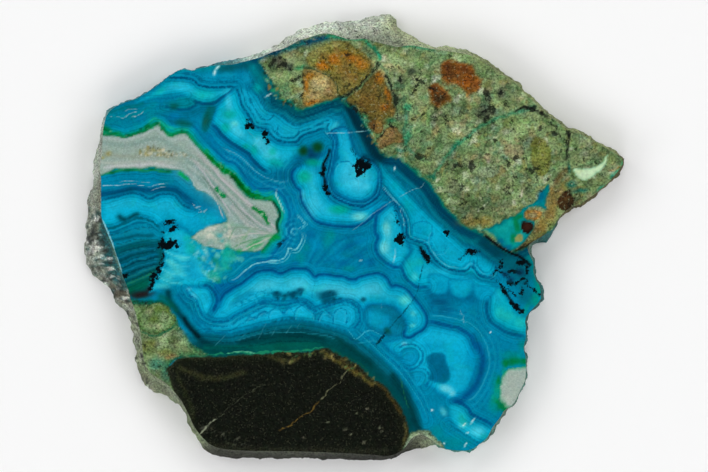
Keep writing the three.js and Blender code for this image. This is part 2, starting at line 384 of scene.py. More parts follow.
LEFT_LIGHT = ("99,201 108,198 133,193 149,198 158,195 171,194 176,197 180,202 190,209 208,211 218,214 "
    "226,216 222,222 206,227 193,235 188,231 180,225 170,221 162,222 156,226 152,221 147,218 134,217 "
    "120,224 110,226 99,228")
FAN = ("99,230 110,231 120,229 139,220 146,220 153,225 160,229 163,236 163,248 164,256 157,274 150,284 "
    "148,292 130,300 118,288 104,276 98,258")
FIBRES = ("163,232 170,230 180,228 188,232 208,249 212,258 218,270 214,278 200,284 186,286 170,286 "
    "155,290 149,292 154,281 160,270 164,258")

LOBE_FEET = ("198,333 207,332 228,334 240,331 270,323 295,320 325,325 345,331 352,336 360,341 370,347 "
    "382,357 402,379 411,392 421,418 424,432")


def part(text, first, last):
    """A stretch of a traced path, by the numbers of its points."""
    return " ".join(text.split()[first:last])


def paint_contact_bands(face):
    """The dark bands that follow the contact with the breccia, and the lighter ones beyond them."""
    gap = track(smooth_curve(CONTACT), face.xy, 60)[0]
    face.by_depth(gap, [(0, (0, 108, 92)), (1.5, (0, 88, 92)), (3.5, (0, 66, 88)), (8, (0, 62, 88)),
        (9.5, (0, 90, 112)), (12.5, (0, 96, 122)), (14, (0, 122, 146)), (15.5, (0, 100, 130)),
        (19, (0, 108, 142)), (26, (0, 126, 162)), (34, MID)], 1)
    face.lines(CONTACT, (1.2, 0.8, (10, 150, 110), 0.5), (4, 1, (0, 52, 72), 0.5),
        (6.4, 0.9, (16, 118, 128), 0.45), (9, 1.4, (0, 44, 70), 0.6), (12.4, 1.1, (14, 134, 150), 0.55),
        (15.6, 1.4, (0, 82, 112), 0.6), (18.4, 1, (20, 140, 165), 0.5), (21, 1.2, (0, 88, 122), 0.5))
    face.haze("258,66 266,78 279,101 290,108 300,112", 5, (0, 92, 104), 0.8)
    face.haze("348,108 374,151 380,157", 9, (2, 40, 54), 0.9)
    face.haze("344,112 350,122 360,145 367,155 380,163 392,167", 2.2, (0, 112, 142), 0.7)
    face.haze("384,161 398,165 422,188 458,228 470,236", 5, (0, 58, 86), 0.7)
    face.haze("462,238 470,241 477,240", 5, (0, 112, 122), 0.7)
    face.haze("484,243 508,262 520,274", 9, (0, 62, 80), 0.85)


def paint_vein_bands(face):
    """The bands that follow the vein's upper edge."""
    distance, side = track(smooth_curve(VEIN_TOP), face.xy, 34)[:2]
    outside = np.where(side < 0, distance, 0)
    face.by_depth(outside, [(0, MALACHITE), (2.5, (0, 140, 110)), (5, (0, 152, 162)), (8, (0, 140, 170)),
        (10.5, (0, 112, 155)), (12, (0, 96, 146)), (14, (0, 128, 168)), (17, (0, 118, 160)),
        (20, (0, 134, 170)), (23, (0, 120, 160)), (27, (0, 130, 165))], np.where(side < 0, 1, 0) *
        soft_step((29 - distance) / 6))
    face.lines(VEIN_TOP, (-7, 0.8, (10, 170, 190), 0.5), (-13, 0.9, (20, 150, 185), 0.5),
        (-15.5, 1, (0, 96, 140), 0.5), (-18.5, 0.9, (20, 150, 182), 0.45), (-21, 0.9, (0, 98, 140), 0.4),
        taper=12)


def paint_upper_left(face):
    face.patches((0, 118, 150), "120 122 22 7; 165 110 25 8; 185 118 20 8; 205 135 10 12 45", 0.7)
    face.haze("103,124 112,122 124,125 136,124 146,119 152,112", 5, (0, 138, 160), 0.7)
    face.haze("110,112 122,108 134,106 142,103", 4, (0, 104, 112), 0.8)
    face.haze("104,116 112,106 136,96", 3, (0, 112, 108), 0.8)
    face.haze("108,118 120,116 132,116 154,104", 5, (0, 132, 146), 0.8)
    face.haze("150,114 162,110 170,104", 6, (0, 126, 142), 0.7)
    face.haze("184,114 208,108 218,112", 6, (0, 98, 126), 0.75)
    face.lines("104,112 116,106 140,100 166,98 178,96 187,94", (0, 2, DEEP, 0.75),
        (4, 1, (0, 150, 165), 0.4), (7, 1.2, (0, 98, 118), 0.5), (11, 1, (0, 150, 170), 0.4),
        (14, 1.2, (0, 100, 130), 0.4))
    face.fill(UPPER_LIGHT, (0, (0, 132, 165)), (3, (4, 158, 188)), (7, (28, 174, 204)), soft=2.5)
    face.patches((12, 178, 178), "203 94 12 6; 160 90 6 3 -30", 0.7)
    face.patches((40, 182, 208), "180 85 10 4; 225 91 6 3 -30", 0.6)
    face.fill("176,98 184,96 192,98 197,102 193,106 186,108 178,106", (0, 132, 146), soft=3, strength=0.8)
    face.lines("163,106 172,108 180,109 188,108 194,105 198,103", (0, 2.4, NAVY, 0.75), (3.5, 1, BLUE, 0.3))
    face.stroke("192,99 198,102 212,103 229,92 233,88", 3.2, NAVY, 0.8)
    face.patches((4, 88, 74), "174 106 5 4; 183 123 10 4 10; 206 119 4 12 12", 0.75)
    face.patches((0, 112, 160), "174 116 6 4; 207 137 9 5 40", 0.7)
    face.patches((60, 80, 50), "205 121 2 4 12", 0.5)
    face.fill("208,108 214,106 215,112 207,130 203,129 203,118", (2, 84, 84), soft=3, strength=0.55)
    face.stroke("147,123 151,120 155,118 165,125 171,128 180,129 190,129", 2.4, (18, 165, 138), 0.75)
    face.haze("168,70 185,68 205,68 222,66", 5, (0, 134, 146), 0.8)
    face.haze("222,69 248,64 258,68 264,78", 7, (4, 84, 98), 0.9)
    face.haze("262,74 268,82 276,92", 4, (20, 108, 104), 0.7)
    face.patches((8, 150, 186), "207 76 10 3; 228 75 8 3.5; 246 78 5 7", 0.7)
    face.lines("166,78 172,77 188,78 194,80 200,85 214,87 230,86 237,87", (0, 2, NAVY, 0.85),
        (-2.6, 0.9, BRIGHT, 0.4), (-5, 1.2, NAVY, 0.6))
    face.lines("184,74 192,75 198,76 203,80 212,81 232,79 240,80", (0, 1.1, NAVY, 0.5),
        (-3, 1, DEEP, 0.5))
    face.haze("252,66 258,76 262,86", 5, (0, 138, 150), 0.7)
    face.patches((0, 160, 158), "257 88 4 6 -20", 0.7)


def paint_upper_lobes(face):
    face.fill(SUB_LOBES, (0, (0, 118, 152)), (2, (2, 142, 176)), (6, (8, 154, 188)), soft=2.5)
    face.patches((14, 162, 196), "259 108 7 8 40; 290 129 10 7; 329 124 6 5; 243 94 3 6", 0.8)
    face.haze("262,98 268,104 276,107 284,113", 3, (0, 96, 120), 0.6)
    face.fill(U2, (0, (0, 112, 152)), (1.5, (0, 140, 178)), (4, (4, 162, 190)), (9, (14, 172, 202)),
        (15, (28, 180, 208)), soft=2)
    face.patches((70, 195, 218),
        "228 103 3.5 9; 233 126 6 4; 238 132 7 4 30; 263 146 11 6 30; 270 154 8 5; 259 141 5 5", 0.7)
    face.patches((110, 215, 205), "234 123 4 3", 0.5)
    face.patches((0, 158, 138),
        "229 114 7 5; 225 127 5 5; 276 163 9 5 20; 245 146 4 3; 253 150 4 5; 272 151 4 4", 0.65)
    face.haze("272,168 284,170 300,157", 6, (0, 124, 158), 0.6)
    face.stroke("211,123 218,130 224,137 246,152 250,157 261,168 268,171", 3.4, NAVY, 0.9)
    face.haze("213,127 222,137 246,156 256,167", 2.5, (0, 92, 140), 0.6)
    face.lines("222,147 232,152 242,158 258,173 276,181 288,181", (0, 1.3, (90, 190, 215), 0.55),
        (3.5, 1.4, (0, 84, 130), 0.6), (6.5, 1, (40, 160, 195), 0.45), (9.5, 1.2, (0, 92, 136), 0.45),
        taper=10)
    face.lines("214,140 224,148 236,154 245,162 253,171 262,175 274,178", (0, 1.3, (0, 88, 138), 0.5),
        taper=10)
    face.patches((0, 92, 124), "285 175 18 7; 296 165 9 7 -40", 0.75)
    face.lines("236,86 238,92 240,98 241,104 247,113 252,123 257,127 263,128 269,128",
        (0, 1.8, NAVY, 0.8), (-2.4, 1, (20, 150, 185), 0.6), (-4.4, 1.3, NAVY, 0.6),
        (-7, 0.9, (24, 160, 195), 0.6), (-9, 1.1, DEEP, 0.6))
    face.lines("246,88 249,94 253,106 261,117 266,120 271,118 274,113", (0, 1.4, NAVY, 0.6))
    face.lines("253,90 257,95 264,107 269,111 277,113 290,123 297,124 303,122 322,116 330,112 337,111",
        (0, 1.8, (0, 76, 106), 0.7), (-3.4, 1, (10, 132, 158), 0.6), (-6, 1.3, (0, 78, 100), 0.6),
        (-9, 1, (6, 118, 138), 0.5))
    face.lines("266,127 270,133 280,141 295,141 300,137 305,134 312,132 319,129 326,128",
        (0, 2, NAVY, 0.8), (-2.6, 0.9, (30, 160, 195), 0.6), (-4.6, 1.3, NAVY, 0.65),
        (-7, 0.9, (20, 158, 192), 0.5))
    face.lines("278,124 277,130 280,135 286,138 292,137 297,133 299,127", (0, 1.3, (0, 88, 128), 0.65))
    face.lines("312,127 320,123 326,120 329,121 327,127 328,132 332,136 334,141", (0, 1.6, NAVY, 0.7),
        (2.6, 1, (30, 165, 195), 0.6), (-2.6, 1, (20, 150, 180), 0.5))
    face.haze("318,119 326,115 334,116 341,121", 2.5, (10, 150, 180), 0.5)
    face.patches((70, 195, 205), "333 129 4 4; 336 124 3 3", 0.5)


def paint_middle_lobes(face):
    face.patches((0, 96, 132), "310 156 20 9 -15", 0.8)
    face.fill(U6, (0, (0, 108, 152)), (2, (0, 140, 180)), (5, (6, 160, 192)), (9, (20, 172, 204)),
        (14, (38, 180, 212)), soft=2.2)
    face.patches((66, 192, 216), "311 206 8 12; 302 195 4 6", 0.6)
    face.patches((110, 210, 210), "359 216 8 4.5", 0.85)
    face.patches((0, 162, 128), "339 209 11 4.5; 304 176 7 6; 312 162 8 4", 0.75)
    face.patches((0, 112, 150), "379 208 7 3 -35; 318 170 4 5", 0.5)
    face.lines(part(U6, 0, 13), (1, 2.6, (0, 72, 122), 0.9), (5, 1, (24, 150, 185), 0.5),
        (7.4, 1.1, (0, 98, 145), 0.5), (10, 1, (24, 152, 186), 0.55), (12.4, 1.1, (0, 96, 142), 0.5),
        (15, 1, (20, 148, 182), 0.5), (17.5, 1.1, (0, 100, 146), 0.4), (20, 1, (20, 148, 182), 0.35))
    face.fill(U5_COLLAR, (0, NAVY), (1.2, (0, 88, 136)), (2.4, (10, 142, 178)), (3.6, (0, 84, 130)),
        (5.5, (0, 110, 150)))
    face.fill(U5, (0, (0, 112, 155)), (1.5, (4, 150, 186)), (5, (16, 168, 200)), (12, (44, 182, 212)),
        soft=1.8)
    face.patches((20, 168, 202), "344 140 5 12 -12; 350 152 4 8 -30", 0.8)
    face.lines("333,176 333,170 338,162 347,161 351,164 354,168", (0, 1.2, (0, 100, 150), 0.7),
        (2, 1, (60, 195, 220), 0.5))
    face.lines("339,190 345,195 359,198 366,195 371,190", (0, 0.9, (0, 105, 150), 0.5))
    face.stroke("345,174 352,176 357,180 359,186", 0.9, (4, 120, 150), 0.5)
    face.stroke("357,176 358,182 359,190", 0.9, (90, 205, 225), 0.5)
    face.patches((90, 208, 228), "356 182 5 4; 366 186 4 3", 0.4)
    face.haze("350,136 354,148 360,156 368,160", 2.5, (0, 96, 128), 0.7)
    face.lines("329,148 328,155 324,169 324,177 329,192 341,201 357,206 366,205 378,196 380,190",
        (0, 1.5, (0, 60, 104), 0.85))
    face.patches((0, 100, 60), "303 150 5 5; 317 146 5 5", 0.45)
    face.haze("296,262 300,250 304,240", 4, (0, 118, 150), 0.5)


def paint_right_lobes(face):
    face.fill(RIGHT_LIGHT, (0, (0, 116, 142)), (2, (0, 142, 172)), (5, (4, 160, 192)),
        (10, (8, 166, 200)), soft=3)
    face.patches((0, 158, 168), "408 206 8 5 45; 395 185 5 5", 0.45)
    face.lines("386,166 398,179 422,204 445,226 456,236 466,246", (0, 1.6, (0, 96, 112), 0.6),
        (-3.5, 1.2, (0, 118, 138), 0.5))
    face.fill(U7, (0, (0, 104, 150)), (2, (0, 148, 184)), (5, (14, 170, 202)), soft=2)
    face.patches((120, 218, 222), "386 229 4 8 -8; 384.5 247 5 7", 0.85)
    face.patches((60, 195, 215), "388 238 5 12; 390 218 4 6; 390 256 5 5", 0.5)
    face.fill(U8, (0, (0, 116, 152)), (2, (0, 150, 184)), (5, (4, 166, 198)), soft=2.4)
    face.patches((20, 175, 175), "409 266 5 8; 414 276 5 5; 418 262 6 4", 0.6)
    face.patches((70, 200, 215), "414 276 3 4", 0.6)
    face.patches((30, 175, 205), "440 272 12 5; 462 280 10 4; 425 270 8 5", 0.5)
    face.haze("436,293 464,296 474,299", 8, (0, 96, 134), 0.85)
    face.haze("428,292 432,300 430,310", 5, (0, 104, 145), 0.6)
    for bump in ("428,274 448,276 449,286 444,293 436,294 430,290",
            "449,278 472,280 472,290 465,297 456,297 450,291",
            "474,284 490,288 491,295 485,300 478,299 474,293"):
        face.fill(bump, (0, (0, 128, 168)), (2.5, (4, 154, 190)), (5, (6, 162, 196)), soft=3)
    face.patches((4, 74, 114), "446 310 8 5; 440 302 9 4", 0.75)
    face.patches((0, 142, 180), "441 286 7 6; 482 293 6 6", 0.7)
    face.lines("387,203 381,209 376,215 374,231 377,237 375,244 376,251 380,258 392,266 400,266",
        (0, 2.6, (0, 76, 126), 0.9), (-3.5, 1, (20, 150, 185), 0.4))
    face.lines("399,264 402,270 405,276 414,285 421,287 428,286", (0, 2.6, (0, 76, 124), 0.85))
    face.lines("380,186 385,192 397,206 405,219 407,234 411,239 424,243 427,246 430,253 443,266 460,271 "
        "467,269 471,266 480,275 488,277 495,278", (0, 2.1, (0, 70, 112), 0.85),
        (-2.7, 0.9, (60, 180, 208), 0.6), (-4.6, 1.1, (0, 104, 146), 0.5))
    face.lines("379,189 384,195 396,209 401,224 402,232", (0, 1.4, (0, 84, 120), 0.6),
        (2.6, 1, (0, 100, 140), 0.4))
    face.stroke("414,223 422,221 429,223 432,228 431,235 426,240 419,240 414,236 412,229", 1.2,
        (0, 104, 150), 0.7, closed=True)
    face.patches((0, 148, 186), "422 230 7 7", 0.7)
    face.lines("434,232 431,237 433,248 438,251 444,250 447,245", (0, 1.3, (0, 102, 148), 0.7),
        (2.4, 0.9, (50, 180, 210), 0.5))
    face.lines("431,248 435,255 448,266 455,266", (0, 1.1, (90, 195, 220), 0.6),
        (-2.5, 1.1, (0, 108, 152), 0.5))
    face.lines("473,258 473,265 476,271 482,275 489,275 494,270 496,264", (0, 1.9, (0, 84, 128), 0.75),
        (-3, 1, (0, 110, 150), 0.6), (2.8, 0.9, (30, 165, 195), 0.5))
    face.stroke("457,258 470,253 476,254 481,258", 1.3, (0, 110, 150), 0.5)
    face.haze("466,254 474,256 480,262", 3, (6, 160, 192), 0.6)


def paint_basin(face):
    face.fill(BASIN, (0, (0, 126, 164)), (5, (0, 122, 158)), soft=3)
    for streak in ("306,264 312,250 318,236", "312,266 322,250 330,236", "318,266 332,252 344,240",
            "330,268 344,256 370,240", "344,270 356,260 370,252", "322,240 336,234 352,232"):
        face.haze(streak, 1.4, (10, 146, 182), 0.4)
    for streak in ("309,262 317,247 324,234", "316,264 327,251 337,239",
            "324,262 338,252 352,244 366,238", "336,268 350,258 366,248", "352,270 362,262 372,258",
            "330,246 344,238 362,234"):
        face.haze(streak, 1.5, (0, 96, 146), 0.5)
    face.patches((0, 132, 132), "299 257 6 7; 328 238 7 9; 349 268 7 3; 331 234 4 4; 306 247 4 4", 0.6)
    face.patches((0, 98, 150), "310 234 5 5; 352 243 9 3 -20; 340 262 9 3 10; 370 262 5 4; 360 256 4 3",
        0.55)
    face.patches((0, 140, 184), "316 245 7 6; 334 256 10 5; 360 240 8 5", 0.5)
    rings = ((3, 1.2, PALE, 0.7), (5.4, 1.3, (0, 100, 140), 0.6), (7.8, 1, (50, 175, 205), 0.6),
        (10.2, 1.2, (0, 100, 142), 0.55), (12.8, 1, (30, 160, 195), 0.5), (15.4, 1.1, (0, 104, 148), 0.4))
    spread = np.hypot((face.xy[:, 0] - 294) / 1.05, face.xy[:, 1] - 231)
    side = soft_step((300 - face.xy[:, 0]) / 8)
    for radius, width, colour, strength in rings:
        face.lay(strength * side * stripe(np.abs(spread - radius), width), colour)
    for dx, ink in ((0, (110, 212, 222)), (2.6, (80, 200, 215))):
        shift = f"{296 + dx},214 {299 + dx},218 {302 + dx},222 {304 + dx},224 {300 + dx},227 {297 + dx},230"
        face.stroke(shift, 0.9, ink, 0.55)
    face.lines("302,232 302,238 297,248 292,249 288,248 285,256 281,259 275,260 268,260",
        (0, 1.1, (120, 218, 225), 0.8), (-3, 1, (80, 200, 215), 0.6), (2.6, 1.2, (0, 104, 150), 0.5))
    face.lines("231,280 237,277 253,264 268,261 276,261", (0, 1.2, (130, 215, 222), 0.8),
        (-3.5, 1, (0, 118, 160), 0.5), (-6.5, 1, (30, 165, 190), 0.5), (4, 1.6, (0, 104, 150), 0.5),
        (7.5, 1, (10, 140, 178), 0.4))
    face.lines("248,254 258,254 268,253 277,250 283,245 287,239", (0, 1.2, (0, 100, 146), 0.5),
        (2.6, 1, (40, 165, 195), 0.5), (5.4, 1.1, (0, 98, 140), 0.45))


def paint_lower_lobes(face):
    face.haze("222,288 232,282 250,270 262,266 274,268 284,267 296,263", 3.5, (0, 100, 150), 0.75)
    face.fill("214,284 222,283 232,282 238,284 230,289 223,295 219,303 215,311 213,309 215,301 214,292",
        (0, 102, 152), soft=3)
    face.fill(M1, (0, (0, 106, 150)), (1.5, (0, 138, 178)), (4, (4, 158, 192)), (8, (18, 168, 198)),
        (13, (36, 177, 204)), soft=1.8)
    face.patches((84, 200, 222),
        "266 284 20 5 -12; 300 283 14 6; 338 288 20 7 8; 372 288 14 7; 352 294 14 5 10", 0.4)
    face.patches((90, 212, 212), "405 299 6 5; 413 313 3 3; 412 325 3 2", 0.7)
    face.patches((10, 164, 202),
        "238 303 12 6 -25; 222 313 8 4; 250 297 12 4 -20; 400 291 6 4; 418 316 5 9", 0.6)
    face.patches((0, 148, 186), "245 302 10 4 -25; 250 294 8 4 -20", 0.4)
    face.patches((0, 116, 150), "246 294 8 3 -25; 236 302 6 3 -20; 238 297 4 4", 0.45)
    face.haze("268,293 276,292 288,293 298,290", 3, (0, 110, 140), 0.55)
    face.patches((0, 62, 84),
        "277 294 4.5 3.5; 292 294 7 3.5 -15; 326 296 10 5 8; 300 289 4 2.5; 363 299 3 2.5; 331 292 6 3",
        0.8)
    face.stroke("313,276 314,283 312,291 311,300", 1.1, (0, 120, 160), 0.5)
    face.lines(part(M1, 0, 27), (-1, 2.5, (0, 72, 122), 0.9), (-4.6, 1, (8, 134, 172), 0.35))
    face.lines("201,284 207,285 212,289 215,295 216,302 214,308 211,312", (0, 2.8, (0, 72, 120), 0.85))
    face.fill(CURL, (0, (0, 108, 150)), (2, (4, 152, 188)), (5, (14, 168, 200)), soft=1.6)
    face.patches((90, 200, 225), "194 295 4 2 40; 188 289 3 2", 0.6)
    face.fill(SMALL_LOBES, (0, (0, 126, 160)), (2, (4, 152, 188)), (5, (10, 164, 200)), soft=2.5)
    face.patches((0, 112, 150), "330 312 4 8; 284 312 2.5 5; 262 313 5 3; 250 318 4 2.5; 316 315 5 5", 0.55)
    face.patches((20, 170, 205), "299 311 7 5; 275 313 6 5; 338 316 8 8; 346 312 6 6; 230 324 12 3 -8", 0.5)
    face.lines("184,288 189,294 196,299 201,313 206,318 213,321 227,321 234,316 248,309 262,302 268,301",
        (0, 1.6, (0, 80, 128), 0.75), (2.8, 1, (30, 165, 198), 0.5), (5, 1.3, (0, 88, 134), 0.65),
        (7.6, 1, (20, 158, 192), 0.45), (10, 1.3, (0, 92, 136), 0.55))
    face.lines("258,305 266,303 282,304 290,303 297,301 304,302 314,310 320,308 343,301 354,305 358,310 "
        "359,317 357,324 352,329", (0, 1.7, (0, 80, 128), 0.75), (3, 1, (0, 106, 150), 0.55),
        (-3, 1.2, (0, 100, 145), 0.45))
    for path in ("268,318 270,311 275,308 280,309 283,314", "283,314 285,309 290,308 294,312",
            "293,320 294,312 298,307 303,305 309,308 313,313 315,320",
            "316,322 319,315 324,312 330,313 333,317",
            "333,324 333,316 336,310 341,308 346,311 347,318 345,325", "244,322 248,317 253,316 257,319",
            "256,316 260,312 265,311 269,314"):
        face.lines(path, (0, 1.2, (0, 96, 142), 0.75), (2, 0.9, (50, 182, 212), 0.55), taper=2)
    for x, y, size in ((238, 304, 3.6), (245, 301, 3.4), (252, 297, 4.2), (260, 294, 4.4), (268, 291, 4),
            (256, 301, 2.6), (325, 300, 3), (332, 302, 2.6)):
        turns = np.arange(8) * np.pi / 4
        ring = " ".join(f"{x + size * np.cos(t):.1f},{y + size * 0.8 * np.sin(t):.1f}" for t in turns)
        face.stroke(ring, 1, (0, 104, 138), 0.55, closed=True)
        face.patches((50, 182, 208), f"{x} {y} {size * 0.6} {size * 0.5}", 0.4)
    face.mosaic(((0, 58, 80), (0, 84, 110), (0, 72, 96)), 26, 44,
        "272,292 284,291 296,289 302,292 296,298 284,299 274,298", (0.8, 2), 0.6)
    face.mosaic(((0, 58, 80), (0, 90, 118), (0, 72, 96)), 26, 45,
        "316,296 326,293 338,294 340,299 330,303 320,302", (0.8, 2), 0.55)
    face.mosaic(((0, 76, 98), (0, 92, 116), (0, 60, 76)), 60, 46,
        "272,321 290,319 306,321 320,325 336,330 330,333 312,328 294,326 276,327", (0.8, 2.2), 0.55)


def paint_lower_right(face):
    face.patches((0, 128, 166), "500 345 18 14; 480 325 16 10; 455 315 14 8", 0.6)
    face.lines("430,315 440,316 468,322 483,338 489,357 485,377 474,396 466,400",
        (0, 1.4, (34, 160, 190), 0.7), (-3, 1.2, (0, 104, 146), 0.6), (-5.6, 1.1, (20, 148, 182), 0.6),
        (-8.4, 1.2, (0, 102, 142), 0.55), (-11, 1, (10, 142, 172), 0.5), (-13.6, 1.1, (0, 104, 140), 0.4))
    face.fill(R5, (0, (0, 114, 158)), (2.5, (2, 150, 188)), (7, (8, 166, 202)), soft=2.5)
    face.patches((0, 138, 180), "470 358 6 9; 430 345 10 5; 462 395 6 4", 0.5)
    face.patches((20, 172, 208), "440 337 20 7; 460 375 8 12; 405 342 10 4", 0.4)
    face.patches((120, 212, 228), "446 388 7 4 15; 404 343 3 2; 452 393 3 3", 0.75)
    face.stroke("427,322 434,322 450,326 458,327 470,336 473,343 476,350", 3.6, (0, 82, 130), 0.9)
    face.haze("477,344 481,352 482,362 477,382 463,398 455,402", 5.5, (0, 78, 128), 0.95)
    face.haze("472,336 477,345", 4, (0, 88, 136), 0.7)
    face.fill(R1, (0, (0, 92, 130)), (2, (4, 116, 148)), (6, (4, 124, 158)), soft=2.5)
    face.fill(R1_CORE, (0, (0, 122, 158)), (2, (4, 142, 180)), (5, (6, 148, 186)), soft=3)
    face.patches((0, 92, 118), "399 322 6 9 -35; 388 332 6 3", 0.5)
    face.patches((0, 104, 144), "437 309 10 5", 0.4)
    face.fill("399,356 401,350 406,347 412,347 417,350 419,356 416,363 410,366 404,365",
        (0, (0, 116, 158)), (2, (0, 136, 176)), (5, (4, 144, 184)), soft=2)
    face.lines("397,349 402,345 409,343 416,345 421,350 422,357 420,363 416,367 409,369 402,367",
        (0, 2, (0, 92, 138), 0.75), (-3, 1, (10, 150, 188), 0.3))
    face.fill("412,377 414,371 419,369 424,371 427,377 424,383 418,385 413,382", (4, 148, 186), soft=2.5)
    face.lines("416,367 422,368 427,371 429,377 427,383 424,387", (0, 1.7, (0, 84, 132), 0.75))
    face.fill(R4, (0, (0, 122, 160)), (2, (0, 108, 144)), (5, (0, 102, 138)), soft=2)
    face.patches((4, 116, 150), "436 363 6 2 -10; 437 355 4 2", 0.5)
    face.stroke("431,384 436,390 449,400", 1.4, (0, 110, 150), 0.4)
    face.fill(R9, (0, (0, 124, 158)), (2.5, (6, 156, 186)), (6, (14, 168, 196)), soft=3)
    face.patches((90, 204, 222), "443 411 3 5 -30; 477 431 8 5; 462 425 4 3", 0.65)
    face.patches((20, 170, 160), "462 419 4 7 -20; 484 436 5 3", 0.5)
    face.lines("453,401 459,402 465,405 469,409 472,414 488,422 493,426", (0, 2.8, (0, 72, 122), 0.85),
        (-4, 1.1, (10, 140, 172), 0.5), (-7.5, 1.2, (0, 104, 140), 0.4))
    face.lines("448,424 472,439 480,443", (0, 2, (0, 92, 116), 0.6), (4.5, 1, (10, 150, 155), 0.4))
    face.patches((0, 134, 142), "452 442 18 8; 436 432 8 8", 0.75)
    for k in range(4):
        face.stroke(f"{424 + k * 6},{404 + k * 7} {436 + k * 6},{416 + k * 6} {452 + k * 5},{428 + k * 5}",
            1.3, (0, 100, 124) if k % 2 else (12, 150, 165), 0.45)
    face.fill(RIGHT_LOBE, (0, (0, 118, 150)), (2, (0, 146, 176)), (5, (6, 164, 184)), soft=2.5)
    face.patches((30, 188, 182), "508 316 6 5; 500 312 5 6; 520 322 6 6", 0.65)
    face.patches((20, 170, 205), "497 296 5 7", 0.5)
    face.lines("487,299 486,308 488,317 494,325 512,334 524,335", (0, 2.8, (0, 78, 118), 0.85),
        (4.5, 1, (20, 150, 178), 0.45), (8, 1.2, (0, 104, 136), 0.4), (12, 1, (12, 144, 170), 0.4))
    face.haze("528,258 533,268 538,290", 5, (0, 136, 128), 0.85)
    face.haze("533,296 528,304 524,312", 4, (0, 150, 140), 0.8)
    face.patches((0, 136, 120), "512 355 12 5; 522 345 5 6; 495 385 5 12; 494 405 6 8", 0.6)
    face.patches((2, 96, 112), "520 272 14 16; 526 296 9 9; 508 262 12 8", 0.75)
    face.patches((0, 150, 124), "536 300 4 8; 539 286 3 8", 0.7)


def paint_dark_floor(face):
    """The dark teal layers between the lobes and the dark clast."""
    face.by_depth(track(smooth_curve("185,336 " + LOBE_FEET), face.xy, 30)[0], [(0, (0, 118, 146)),
        (2.5, (0, 92, 116)), (5, (2, 100, 122)), (8, (4, 88, 104)), (12, (0, 72, 80)), (18, (0, 70, 72)),
        (24, (2, 84, 78))], under_line(face))


def under_line(face):
    """1 below the foot of the lobes, down to the dark clast, and 0 above it."""
    outline = "182,330 190,334 " + LOBE_FEET + " 424,442 410,460 380,470 240,470 180,380 186,345"
    return cover(outline, face.xy, 4, 2.5)


def paint_floor_lines(face):
    face.haze("168,292 172,304 200,338 212,346", 5, (0, 52, 62), 0.9)
    face.haze("160,296 168,300 176,310", 4, (0, 84, 70), 0.7)
    face.haze("178,294 186,305 194,314 200,322 210,329", 2.5, (0, 96, 134), 0.7)
    face.haze("184,318 190,328 198,336", 2.5, (2, 24, 34), 0.85)
    face.lines(part(LOBE_FEET, 0, 9), (0, 1.6, (0, 92, 124), 0.7), (5, 1, (0, 104, 106), 0.45),
        (8, 1.4, (0, 48, 58), 0.5), (12, 1, (0, 92, 88), 0.45), (15, 1.2, (0, 54, 56), 0.4), taper=12)
    face.haze("205,347 225,347 262,345", 3, (0, 98, 88), 0.7)
    face.haze("240,342 275,334 300,334 322,338", 4, (0, 50, 56), 0.7)
    face.haze("255,349 275,345 318,343", 2.5, (0, 92, 80), 0.6)
    face.stroke("236,340 250,336 264,333 296,332 326,335 338,340", 1.2, (26, 132, 150), 0.6)
    for path in ("266,322 262,330 257,340", "276,326 271,336", "292,324 285,334", "300,322 296,328",
            "226,334 214,346", "246,332 238,340", "330,330 340,338"):
        face.stroke(path, 0.7, (60, 160, 176), 0.4, taper=3)
    for path in ("210,340 228,342 268,337 290,336 312,338",
            "214,346 234,347 256,345 280,341 304,341 324,343", "230,337 262,330 280,327",
            "340,344 354,352 368,364"):
        face.stroke(path, 1.2, (0, 44, 52), 0.55, taper=10)
    face.haze("336,338 360,355 372,366", 4, (0, 56, 58), 0.7)
    face.haze("392,376 407,400 417,428", 6, (0, 50, 56), 0.85)
    face.stroke("399,374 405,399 408,408", 1.1, (30, 120, 80), 0.5)
    face.lines("352,330 360,338 370,347 399,376 414,397 420,408 425,420", (0, 1.6, (0, 100, 140), 0.6),
        (-3, 1.1, (34, 170, 205), 0.6), (-5.6, 1.3, (0, 90, 140), 0.55), (-8.2, 1, (26, 162, 198), 0.5),
        (-10.8, 1.2, (0, 98, 146), 0.4), taper=10)
    face.stroke("346,328 351,335 355,339 364,332 371,330 378,333 384,336", 1, (60, 190, 212), 0.7)
    face.stroke("345,332 350,339 356,343 368,336 376,337 384,341", 1.1, (0, 90, 138), 0.6)
    face.stroke("356,343 364,342 372,340 380,341", 1, (40, 175, 205), 0.5)


